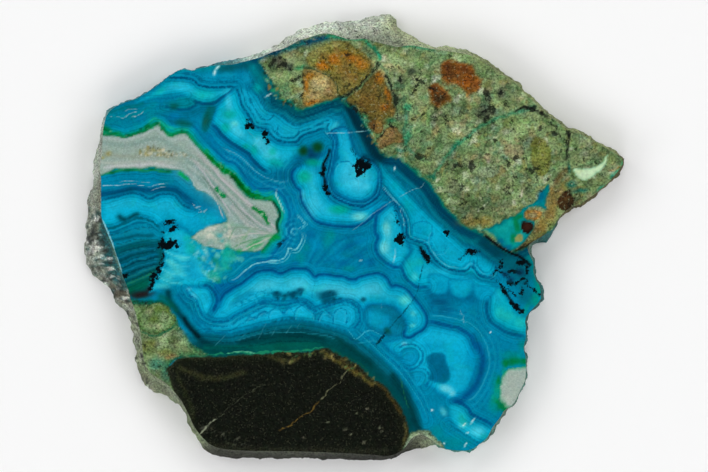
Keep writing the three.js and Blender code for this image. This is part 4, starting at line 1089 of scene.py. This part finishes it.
def paint_black_marks(face):
    """Black dendrites, cracks, the pale healed scratches, and a painted highlight along the chipped left edge
    of the polished face.
    """
    face.blots(SOOT, "361 163 6; 366 166 4.5; 359 171 4.6; 357 168 3.5; 365 158 2.2 1.5", 1, 0.5, 5)
    face.stroke("351,146 353,152 359,160", 2.2, (2, 34, 46), 0.85)
    for text, width in (("329,148 328,154 322,166 324,178 325,185", 2.4),
            ("163,230 162,238 162,261 151,283 149,288", 2.2), ("458,260 468,253 480,250", 1.7),
            ("484,235 492,241 500,247 517,255 524,260 531,266", 3.2), ("526,245 532,243 538,238", 1.2),
            ("499,258 501,264 498,269 493,272 491,276", 2.2), ("498,269 503,272 511,281 513,285", 1.7),
            ("513,285 524,276 527,270 525,264", 1.8), ("513,268 524,277 527,283", 2),
            ("520,285 522,291 521,296", 2), ("523,282 536,291 540,296", 1.8),
            ("500,285 504,290 512,302 516,306 520,311", 2.6), ("495,279 500,284 507,288 518,298", 1.2),
            ("419,245 424,257 429,261", 2.4), ("328,291 333,293", 1)):
        face.stroke(text, width, SOOT, 1, taper=2)
    face.stroke("423,263 420,274 416,293 408,306 394,322 388,329", 1.2, (0, 56, 76), 0.8)
    face.stroke("390,327 380,339 375,346", 1.7, (2, 34, 46), 0.9)
    face.patches((4, 70, 60), "387 330 3 4 -40", 0.7)
    face.blots(SOOT, "248 125 4.2; 246 120 1.6; 264 134 3.6; 267 139 2; 268 141.5 1.8; 325 187 2.5; "
        "328 193 2.6; 322 172 2.6; 323 167 2; 399 240 4.6; 401 236 3; 397 222 2; 396 215 1.5; "
        "395.5 211 1.2; 446 233 2.4; 470 251 2.8 1.4; 424 255 3.6; 428 260 2.6; 421 249 2; "
        "169 222 2.2 2.4; 175 226.5 1.7 1.6; 170 229.5 1.6 1.8; 165 244 3 2; 171 243 3.4 1.4; "
        "174 242 2.4; 168 246 2.6 2; 155 274 3.4; 151 279 2.2; 157 268 2; 152 284 2.4; 149 288 2; "
        "500 260 2.6; 497 269 2; 514 271 3 1.6; 520 263 3 1.6; 509 282 2.6 1.2; 512 302 2.4; 516 307 3; "
        "521 311 2 1.4; 505 291 2.6; 520 293 1.8; 527 284 1.6; 122 276 3 1.6; 163 232 2; 163 240 1.6; "
        "163 250 1.8; 161 261 2.2; 158 270 3; 153 277 3.6; 160 246 2.4 2; 177 245 2 1.6", 1, 0.42, 60)
    face.patches((10, 24, 60), "505 274 4 3; 510 279 4 3; 520 272 5 4", 0.5)
    face.patches((8, 60, 22), "303 150 4.5 4.5; 317 146.5 5.5 5", 0.85)
    face.patches((4, 50, 86), "310 151 3.5 5; 313 155 6 3 -20", 0.6)
    face.patches((0, 44, 66), "366 156 5 3; 372 160 4 3", 0.6)
    # Pale healed scratches. The last stroke, along the chipped left edge of the polished face, is a painted
    # highlight where light catches that edge.
    for text, width, strength in (("325,133 350,132 370,130", 0.9, 0.6),
            ("352,230 360,224 369,216 387,203 394,199", 0.6, 0.4), ("398,197 413,189 420,187 424,182",
            0.6, 0.45), ("395,247 395,254 393,262", 1.3, 0.7), ("381,187 393,199 400,206", 0.6, 0.4),
            ("247,130 254,137 257,141 252,146", 0.7, 0.25), ("399,208 404,220 403,224 406,226", 0.8, 0.6),
            ("381,303 381,309", 1.1, 0.6), ("459,308 462,316 464,326", 0.8, 0.35),
            ("101,219 105,226 117,259 120,268 122,272", 1.5, 0.85)):
        face.stroke(text, width, (140, 212, 220), strength, taper=4)
    # Small near-white marks. The one at 120, 269 sits on the left edge and brightens the painted edge
    # highlight there.
    face.patches((212, 238, 236), "214 72 1.4 3 10; 217 67 1.2 3 50; 268 94.5 4.2 0.8 -32; "
        "120 269 1.4 1.6; 472 421 4 0.8 -52; 464 424 2 0.8 -45; 432 410 1.6 1 45; 465 444 3.4 0.7 -65; "
        "444 443 1.6 0.8 -60; 360 260 0.9 0.9; 394 168 0.8 2; 490 332 0.9 0.9; 467 432 1.4 0.8", 0.9)


def paint_rind(xy):
    """The broken side of the stone, stretch by stretch along its outline."""
    rind = Face(xy, (120, 128, 108))
    for text, width, colour in (("100,122 118,106 150,88 170,72 215,62 258,50", 9, (40, 130, 140)),
            ("250,50 290,36 320,24 350,18 386,12 400,18", 16, (206, 216, 200)),
            ("396,22 420,36 450,44 480,54", 12, (170, 182, 140)),
            ("480,54 520,86 545,106 570,124 600,142 628,160", 10, (128, 140, 92)),
            ("628,160 612,180 590,200 570,212 552,232", 10, (84, 78, 44)),
            ("552,232 542,250 541,290 530,320 528,366", 10, (20, 92, 92)),
            ("527,366 522,400 505,425 482,450", 10, (80, 124, 112)), ("482,450 460,455 440,450", 9,
            (20, 120, 110)), ("428,446 412,452", 10, (130, 140, 110)),
            ("408,455 380,460 320,462 260,462 210,455 195,440", 13, (30, 31, 24)),
            ("196,436 180,425 150,395 136,350 128,310", 14, (128, 142, 108)),
            ("128,310 112,288 96,272 84,240 84,190 90,160", 12, (146, 154, 142)),
            ("90,170 92,150 96,136 102,122", 10, (172, 182, 170))):
        rind.haze(text, width * 1.6, colour, 0.95)
    rind.fill("101,214 104,220 112,245 121,272 128,290 118,286 106,277 99,262 98,240", (0, (20, 96, 92)),
        (3, (0, 84, 88)), soft=4, strength=0.95)
    rind.patches((60, 50, 34), "120 294 14 7 35; 106 284 8 5 40; 140 380 8 6; 165 412 8 5 40", 0.6)
    rind.mosaic(((16, 24, 22), (214, 220, 212), (60, 66, 56), (236, 240, 232), (20, 60, 56),
        (120, 126, 112)), 260, 5,
        "84,200 100,210 102,240 112,262 122,282 132,298 120,302 104,288 90,270 80,250 80,220", (0.7, 2.4),
        0.85)
    rind.mosaic(((30, 34, 28), (190, 196, 180), (84, 88, 70), (150, 156, 130)), 260, 6,
        "118,290 134,300 146,340 150,380 170,410 196,440 176,440 150,410 132,370 124,330", (0.8, 2.6),
        0.7)
    rind.patches((150, 156, 140),
        "92 205 4 10; 135 340 6 12; 100 270 5 6; 150 400 10 6 50; 178 428 10 5 50", 0.6)
    return rind


def shaken(xy, size, seeds, amount):
    """The same places, each moved a little, so that no traced edge is too smooth."""
    return xy + np.stack([value_noise(xy, size, seed) for seed in seeds], 1) * amount


def paint_face(xy):
    """The whole drawing: the blue bands and the vein, the rocks with rougher edges, then the marks."""
    xy = shaken(xy, 9, (101, 202), 0.9)
    rough = shaken(xy, 5, (303, 404), 1.8)
    face = Face(xy, MID)
    for paint in (paint_contact_bands, paint_vein_bands, paint_upper_left, paint_upper_lobes,
                  paint_middle_lobes, paint_right_lobes, paint_basin, paint_lower_right, paint_lower_lobes,
                  paint_dark_floor, paint_floor_lines, paint_left_zone, paint_fibres, paint_vein):
        paint(face)
    face.xy = rough
    for paint in (paint_host, paint_grey_corner, paint_dark_clast, paint_breccia, paint_breccia_marks):
        paint(face)
    face.xy = xy
    paint_black_marks(face)
    breccia, host, clast, vein, wedge, corner, dent, swoosh = (
        cover(text, xy, 3) for text in (BRECCIA, HOST, BLACK, VEIN, WEDGE, GREY_PATCH, PALE_DENT, SWOOSH))
    plain_wedge = wedge * (1 - face.pebbles)
    face.zones = {"breccia": np.clip(breccia * (1 - plain_wedge) * (1 - swoosh) + host + dent, 0, 1),
                  "clast": clast, "vein": np.clip(vein + corner, 0, 1)}
    return face


# The stone's mesh: a fine grid on the polished face, a coarser one on the sawn back

POLISHED_GRID = 0.00030
SAWN_GRID = 0.00095
TINY = 1e-6
NEAR = TINY * 5
FLAT = 0.99
SIDE_CUTS = 1
LUMPS_PER_METRE = 520
LUMP_LOOK = (0.7, 2.2, 5)
LUMP_HEIGHT = 0.0005
LUMP_SINK = 0.00005


def spread_cuts(bm, faces, axis, low, high, spacing):
    """Cuts flat faces into strips across one axis. Each cut only meets what is beyond the last one."""
    normal = Vector((0, 0, 0))
    normal[axis] = 1
    done, rest = [], list(faces)
    count = max(1, round((high - low) / spacing))
    for i in range(1, count):
        place = low + (high - low) * i / count
        plane = Vector((0, 0, 0))
        plane[axis] = place
        crossed, later = [], []
        for face in rest:
            span = [v.co[axis] for v in face.verts]
            if max(span) <= place + TINY:
                done.append(face)
            elif min(span) >= place - TINY:
                later.append(face)
            else:
                crossed.append(face)
        if not crossed:
            rest = later
            continue
        edges = {e for face in crossed for e in face.edges}
        verts = {v for face in crossed for v in face.verts}
        cut = bmesh.ops.bisect_plane(bm, geom=crossed + list(edges) + list(verts), dist=TINY,
                                     plane_co=plane, plane_no=normal)
        for piece in cut["geom"]:
            if isinstance(piece, bmesh.types.BMFace):
                if piece.calc_center_bounds()[axis] < place:
                    done.append(piece)
                else:
                    later.append(piece)
        rest = later
    return done + rest


def flat_faces(bm, height, up):
    return [f for f in bm.faces
            if f.normal.z * up > FLAT and all(abs(v.co.z - height) < NEAR for v in f.verts)]


def break_side(bm, low, high):
    """Roughens the natural side between its two rims, and keeps it inside the slice's box."""
    for v in bm.verts:
        if not low.z + NEAR < v.co.z < high.z - NEAR:
            continue
        outward = v.normal.xy.normalized()
        lumps = fractal(v.co * LUMPS_PER_METRE, *LUMP_LOOK) * LUMP_HEIGHT - LUMP_SINK
        place = v.co.xy + outward * lumps
        v.co.x = min(max(place.x, low.x), high.x)
        v.co.y = min(max(place.y, low.y), high.y)


def build_stone(node):
    """A fine, closed copy of the slice, cut up where its pattern needs a place for every mark."""
    low, high = (Vector(corner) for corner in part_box(NODE))
    bm = bmesh.new()
    bm.from_mesh(node.data)
    bmesh.ops.remove_doubles(bm, verts=bm.verts[:], dist=TINY)
    bm.normal_update()
    for height, up in ((high.z, 1), (low.z, -1)):
        cap = flat_faces(bm, height, up)
        bmesh.ops.dissolve_faces(bm, faces=cap, use_verts=False)
    side = [f for f in bm.faces if abs(f.normal.z) < FLAT or len(f.verts) == 3]
    bmesh.ops.subdivide_edges(bm, edges=list({e for f in side for e in f.edges}), cuts=SIDE_CUTS,
                              use_grid_fill=True)
    bm.normal_update()
    break_side(bm, low, high)
    bm.normal_update()
    for height, up, grid in ((high.z, 1, POLISHED_GRID), (low.z, -1, SAWN_GRID)):
        cap = flat_faces(bm, height, up)
        columns = spread_cuts(bm, cap, 0, low.x, high.x, grid)
        spread_cuts(bm, columns, 1, low.y, high.y, grid)
    bmesh.ops.triangulate(bm, faces=bm.faces[:])
    bm.normal_update()
    mesh = bpy.data.meshes.new(PIECE)
    bm.to_mesh(mesh)
    bm.free()
    stone = bpy.data.objects.new(PIECE, mesh)
    bpy.context.scene.collection.objects.link(stone)
    return stone


def to_linear(srgb):
    s = np.clip(srgb, 0, 1)
    return np.where(s <= 0.04045, s / 12.92, ((s + 0.055) / 1.055) ** 2.4)


def keep_colour(mesh, name, srgb255, strength=1.0):
    layer = mesh.attributes.new(name, "FLOAT_COLOR", "POINT")
    values = np.ones((len(mesh.vertices), 4), np.float32)
    values[:, :3] = to_linear(srgb255 / 255)
    values[:, 3] = strength
    layer.data.foreach_set("color", values.ravel())


def keep_value(mesh, name, numbers, domain="POINT"):
    layer = mesh.attributes.new(name, "FLOAT", domain)
    layer.data.foreach_set("value", np.asarray(numbers, np.float32))


def draw_on_stone(stone, top):
    """Keeps the drawing on the mesh: coats, thin lines, zones, and which faces are broken or sawn."""
    mesh = stone.data
    place = np.empty(len(mesh.vertices) * 3, np.float32)
    mesh.vertices.foreach_get("co", place)
    place = place.reshape(-1, 3).astype(float)
    xy = np.stack([place[:, 0] / DRAWING_UNIT + DRAWING_MIDDLE[0],
                   DRAWING_MIDDLE[1] - place[:, 1] / DRAWING_UNIT], 1)
    face = paint_face(xy)
    keep_colour(mesh, "pattern", face.colour)
    for kind in LINE_KINDS:
        keep_value(mesh, kind + "_gap", face.gaps[kind])
        keep_colour(mesh, kind + "_ink", face.inks[kind][:, :3], face.inks[kind][:, 3])
    for name, amount in face.zones.items():
        keep_value(mesh, "zone_" + name, amount)
    keep_value(mesh, "growth", face.growth / GROWTH_REACH)
    keep_colour(mesh, "rind", paint_rind(xy).colour)
    normals = np.empty(len(mesh.polygons) * 3, np.float32)
    mesh.polygons.foreach_get("normal", normals)
    upward = normals.reshape(-1, 3)[:, 2]
    loops = np.empty(len(mesh.loops), np.int32)
    mesh.loops.foreach_get("vertex_index", loops)
    height = place[loops.reshape(-1, 3), 2]
    keep_value(mesh, "broken", ~((height.min(1) > top - NEAR) | (height.max(1) < NEAR)), "FACE")
    keep_value(mesh, "sawn", (height.max(1) < NEAR) & (upward < 0), "FACE")


def material(name):
    m = bpy.data.materials.new(name)
    m.use_nodes = True
    m.node_tree.nodes.clear()
    return m


# Small helpers for the material's nodes: a value or a linked socket goes in, the output socket comes back

def add(tree, kind, sockets, output=0, **settings):
    node = tree.nodes.new(kind)
    for name, value in settings.items():
        setattr(node, name, value)
    for name, value in sockets.items():
        if isinstance(value, bpy.types.NodeSocket):
            tree.links.new(value, node.inputs[name])
        else:
            node.inputs[name].default_value = value
    return None if output is None else node.outputs[output]


def maths(tree, operation, *values):
    return add(tree, "ShaderNodeMath", dict(enumerate(values)), operation=operation)


def remap(tree, value, low, high, to_low=0.0, to_high=1.0):
    return add(tree, "ShaderNodeMapRange", {"Value": value, "From Min": low, "From Max": high,
                                            "To Min": to_low, "To Max": to_high},
               interpolation_type="SMOOTHSTEP")


def blend(tree, amount, first, second, how="MIX"):
    return add(tree, "ShaderNodeMix", {0: amount, 6: first, 7: second}, 2, data_type="RGBA", blend_type=how)


def scaled(tree, vector, amount):
    return add(tree, "ShaderNodeVectorMath", {0: vector, "Scale": amount}, operation="SCALE")


def shifted(tree, vector, move, operation="ADD"):
    return add(tree, "ShaderNodeVectorMath", {0: vector, 1: move}, operation=operation)


def noise(tree, place, scale, detail=2.0, roughness=0.5, output=0, distortion=0.0):
    return add(tree, "ShaderNodeTexNoise", {"Vector": place, "Scale": scale, "Detail": detail,
                                            "Roughness": roughness, "Distortion": distortion}, output)


def attribute(tree, name, output="Fac"):
    return add(tree, "ShaderNodeAttribute", {}, output, attribute_name=name)


def effect(name, inputs, outputs):
    """A shared effect: a node group that gives back only colours or values."""
    tree = bpy.data.node_groups.new(name, "ShaderNodeTree")
    for label, kind in inputs:
        tree.interface.new_socket(label, in_out="INPUT", socket_type=kind)
    for label, kind in outputs:
        tree.interface.new_socket(label, in_out="OUTPUT", socket_type=kind)
    return tree, tree.nodes.new("NodeGroupInput").outputs, tree.nodes.new("NodeGroupOutput").inputs


def use(tree, group, sockets, output=0):
    return add(tree, "ShaderNodeGroup", sockets, output, node_tree=group)


COLOUR, NUMBER, PLACE = "NodeSocketColor", "NodeSocketFloat", "NodeSocketVector"
LINE_EDGE = 0.55
LAYERS = 36.0
WIDER_LAYERS = 0.43
LAYER_CONTRAST = 0.085
RIND_SPARKLE = 1.6
# How far the dark specks' noise is moved, so that they don't fall on the pale ones
OTHER_PLACE = (7.3, 2.9, 5.1)
SPECK_INK = (0.006, 0.010, 0.006, 1)
GREENER = (1.25, 1.02, 0.72, 1)
# Roughness of the polished blue, and what the breccia, the sawn back and the broken side add to it
POLISHED, BRECCIA_ROUGHER, SAWN_ROUGHER, BROKEN_ROUGHER = 0.15, 0.10, 0.35, 0.72
BUMP_DEPTH = 0.0007


def sharp_line_effect():
    """Lays a thin line of ink over a colour, sharp wherever its distance is known."""
    tree, given, result = effect("sharp_line", (("Base", COLOUR), ("Gap", NUMBER), ("Ink", COLOUR),
                                                ("Strength", NUMBER)), (("Color", COLOUR),))
    cover = maths(tree, "MULTIPLY", remap(tree, given["Gap"], LINE_EDGE, -LINE_EDGE), given["Strength"])
    tree.links.new(blend(tree, cover, given["Base"], given["Ink"]), result["Color"])
    return tree


def grain_effect():
    """Grains of a broken-up rock: pieces, light and dark grains, off-colour ones, cracks and specks."""
    tree, given, result = effect("rock_grain", (("Base", COLOUR), ("Vector", PLACE), ("Size", NUMBER),
                                                ("Contrast", NUMBER), ("Hue", NUMBER), ("Pieces", NUMBER),
                                                ("Pale", COLOUR), ("Dark Specks", NUMBER),
                                                ("Pale Specks", NUMBER)), (("Color", COLOUR),))
    place = scaled(tree, given["Vector"], given["Size"])
    cells = noise(tree, place, 0.62, 3, 0.62, output=1)
    light = remap(tree, noise(tree, place, 2.4, 3, 0.72), 0.28, 0.72, -1, 1)
    lit = maths(tree, "MULTIPLY_ADD", maths(tree, "MULTIPLY", light, given["Contrast"]), 0.75, 1.0)
    bent = shifted(tree, scaled(tree, noise(tree, place, 0.9, 3, 0.6, output=1), 0.9), place)
    cracked = {"Vector": bent, "Scale": 0.34}
    piece = add(tree, "ShaderNodeTexVoronoi", cracked, 1)
    seam = add(tree, "ShaderNodeTexVoronoi", cracked, feature="DISTANCE_TO_EDGE")
    seam = maths(tree, "MULTIPLY", remap(tree, seam, 0.075, 0.02),
                 remap(tree, noise(tree, place, 0.16, 2, 0.5), 0.47, 0.62))
    tinted = maths(tree, "MULTIPLY_ADD", remap(tree, piece, 0.0, 1.0, -0.5, 0.5), given["Pieces"], 1.0)
    lit = maths(tree, "MULTIPLY", lit, tinted)
    tone = scaled(tree, shifted(tree, cells, (0.5, 0.5, 0.5), "SUBTRACT"), given["Hue"])
    tone = scaled(tree, shifted(tree, tone, (1.0, 1.0, 1.0)), lit)
    colour = blend(tree, 1.0, given["Base"], tone, "MULTIPLY")
    pale = remap(tree, noise(tree, place, 1.7, 2, 0.6), 0.58, 0.70)
    colour = blend(tree, maths(tree, "MULTIPLY", pale, given["Pale Specks"]), colour, given["Pale"])
    dark = remap(tree, noise(tree, shifted(tree, place, OTHER_PLACE), 1.05, 3, 0.7), 0.59, 0.66)
    dark = maths(tree, "MAXIMUM", dark, maths(tree, "MULTIPLY", seam, given["Pieces"]))
    colour = blend(tree, maths(tree, "MULTIPLY", dark, given["Dark Specks"]), colour, SPECK_INK)
    tree.links.new(colour, result["Color"])
    return tree


def stone_material():
    m = material("banded_stone")
    tree = m.node_tree
    sharp_line, rock_grain = sharp_line_effect(), grain_effect()
    place = add(tree, "ShaderNodeTexCoord", {}, "Object")

    # The chrysocolla: soft clouds and a fine grain
    base = attribute(tree, "pattern", "Color")
    clouds = noise(tree, place, 210, 4, 0.62)
    fine = noise(tree, place, 1900, 3, 0.7)
    shade = maths(tree, "ADD", remap(tree, clouds, 0.3, 0.7, 0.88, 1.12),
                  remap(tree, fine, 0.3, 0.7, -0.11, 0.11))

    # Growth layers, parallel to the lobes' outlines and dying out away from them
    growth = attribute(tree, "growth")
    layer = maths(tree, "MULTIPLY_ADD", growth, LAYERS, maths(tree, "MULTIPLY", clouds, 3.0))
    wider = maths(tree, "MULTIPLY", layer, WIDER_LAYERS)
    layers = maths(tree, "ADD", maths(tree, "SINE", layer), maths(tree, "SINE", wider))
    layers = maths(tree, "MULTIPLY", layers, remap(tree, growth, 1.0, 0.35))
    shade = maths(tree, "MULTIPLY_ADD", layers, LAYER_CONTRAST, shade)
    blue = scaled(tree, base, shade)
    green_shift = remap(tree, noise(tree, place, 330, 3, 0.6, distortion=0.6), 0.5, 0.68, 0, 0.30)
    blue = blend(tree, green_shift, blue, blend(tree, 1.0, blue, GREENER, "MULTIPLY"))

    # The vein: sugary quartz
    sugar = use(tree, rock_grain, {"Base": base, "Vector": place, "Size": 1250.0, "Contrast": 0.22,
                                   "Hue": 0.18, "Pieces": 0.0, "Pale": (0.58, 0.66, 0.64, 1),
                                   "Dark Specks": 0.06, "Pale Specks": 0.28})
    colour = blend(tree, attribute(tree, "zone_vein"), blue, sugar)

    # The breccia and the clast's host: grains of olive, green, beige and brown
    grains = use(tree, rock_grain, {"Base": base, "Vector": place, "Size": 900.0, "Contrast": 0.80,
                                    "Hue": 0.60, "Pieces": 0.50, "Pale": (0.44, 0.52, 0.29, 1),
                                    "Dark Specks": 0.75, "Pale Specks": 0.30})
    colour = blend(tree, attribute(tree, "zone_breccia"), colour, grains)

    # The dark clast: a close, nearly black grain
    close = use(tree, rock_grain, {"Base": base, "Vector": place, "Size": 1500.0, "Contrast": 0.95,
                                   "Hue": 0.5, "Pieces": 0.0, "Pale": (0.07, 0.075, 0.045, 1),
                                   "Dark Specks": 0.7, "Pale Specks": 0.35})
    colour = blend(tree, attribute(tree, "zone_clast"), colour, close)

    ragged = noise(tree, place, 1300, 4, 0.75)
    for kind, wobble, most in (("dark", fine, 0.45), ("pale", fine, 0.25), ("soot", ragged, 2.2)):
        gap = maths(tree, "ADD", attribute(tree, kind + "_gap"), remap(tree, wobble, 0.25, 0.75, -most, most))
        colour = use(tree, sharp_line, {"Base": colour, "Gap": gap,
                                        "Ink": attribute(tree, kind + "_ink", "Color"),
                                        "Strength": attribute(tree, kind + "_ink", "Alpha")})

    # The broken side
    rind = attribute(tree, "rind", "Color")
    side = use(tree, rock_grain, {"Base": rind, "Vector": place, "Size": 1100.0, "Contrast": 0.95,
                                  "Hue": 0.35, "Pieces": 0.5, "Pale": scaled(tree, rind, RIND_SPARKLE),
                                  "Dark Specks": 0.85, "Pale Specks": 0.45})
    broken = attribute(tree, "broken")
    colour = blend(tree, broken, colour, side)

    rough = maths(tree, "MULTIPLY_ADD", attribute(tree, "zone_breccia"), BRECCIA_ROUGHER, POLISHED)
    rough = maths(tree, "MULTIPLY_ADD", attribute(tree, "sawn"), SAWN_ROUGHER, rough)
    rough = maths(tree, "MULTIPLY_ADD", broken, BROKEN_ROUGHER, rough)
    ground = maths(tree, "MULTIPLY", noise(tree, place, 620, 6, 0.68), broken)
    bump = add(tree, "ShaderNodeBump", {"Strength": 1.0, "Distance": BUMP_DEPTH, "Height": ground})
    shader = add(tree, "ShaderNodeBsdfPrincipled", {"Base Color": colour, "Roughness": rough, "Normal": bump})
    add(tree, "ShaderNodeOutputMaterial", {"Surface": shader}, None)
    return m


# The studio: a pale floor, a soft bright surround and panels, and a camera square above the slice

CAMERA_LENS = 300
SENSOR = 36
FRAME_WIDTH = 708
FRAME_HEIGHT = 472
FLOOR_SIZE = 6
PANELS = 6
PANEL_SIZE = 0.8
PANEL_REACH = 1.3
PANEL_RISE = 40
PANEL_POWER = 3.7
FLOOR_WHITE = (0.95, 0.95, 0.95, 1)
# The surround is bright at the sides and dark overhead, where the polished face would mirror it.
SURROUND = 0.5
DARK_FROM = 0.55
DARK_AT = 0.92
FAR_CLIP = 20


def studio(top):
    scene = bpy.context.scene
    scene.view_settings.view_transform = "Standard"
    bm = bmesh.new()
    bmesh.ops.create_grid(bm, x_segments=1, y_segments=1, size=FLOOR_SIZE / 2)
    mesh = bpy.data.meshes.new("floor")
    bm.to_mesh(mesh)
    bm.free()
    floor = bpy.data.objects.new("floor", mesh)
    scene.collection.objects.link(floor)
    pale = material("pale_floor")
    shader = add(pale.node_tree, "ShaderNodeBsdfPrincipled", {"Base Color": FLOOR_WHITE, "Roughness": 0.9,
                                                              "Specular IOR Level": 0.1})
    add(pale.node_tree, "ShaderNodeOutputMaterial", {"Surface": shader}, None)
    mesh.materials.append(pale)

    world = bpy.data.worlds.new("studio")
    scene.world = world
    world.use_nodes = True
    tree = world.node_tree
    tree.nodes.clear()
    height = add(tree, "ShaderNodeSeparateXYZ", {0: add(tree, "ShaderNodeTexCoord", {}, "Generated")}, "Z")
    glow = remap(tree, height, DARK_FROM, DARK_AT, SURROUND, 0.0)
    sky = add(tree, "ShaderNodeBackground", {"Strength": glow})
    add(tree, "ShaderNodeOutputWorld", {"Surface": sky}, None)

    rise = math.radians(PANEL_RISE)
    for i in range(PANELS):
        turn = math.tau * (i + 0.5) / PANELS
        lamp = bpy.data.lights.new(f"panel_{i + 1}", "AREA")
        lamp.shape = "DISK"
        lamp.size = PANEL_SIZE
        lamp.energy = PANEL_POWER
        panel = bpy.data.objects.new(lamp.name, lamp)
        level = math.cos(rise)
        way = Vector((level * math.cos(turn), level * math.sin(turn), math.sin(rise)))
        panel.location = PANEL_REACH * way
        panel.rotation_euler = (-panel.location).to_track_quat("-Z", "Y").to_euler()
        scene.collection.objects.link(panel)

    camera = bpy.data.objects.new("camera", bpy.data.cameras.new("camera"))
    camera.data.lens = CAMERA_LENS
    camera.data.sensor_width = SENSOR
    distance = FRAME_WIDTH * DRAWING_UNIT * CAMERA_LENS / SENSOR
    camera.location = (((FRAME_WIDTH - 1) / 2 - DRAWING_MIDDLE[0]) * DRAWING_UNIT,
                       (DRAWING_MIDDLE[1] - (FRAME_HEIGHT - 1) / 2) * DRAWING_UNIT, top + distance)
    camera.data.clip_end = FAR_CLIP
    scene.collection.objects.link(camera)
    scene.camera = camera


def main():
    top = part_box(NODE)[1][2]
    stone = build_stone(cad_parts[NODE])
    draw_on_stone(stone, top)
    stone.data.materials.append(stone_material())
    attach(stone, "root")
    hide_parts(NODE)
    studio(top)


main()
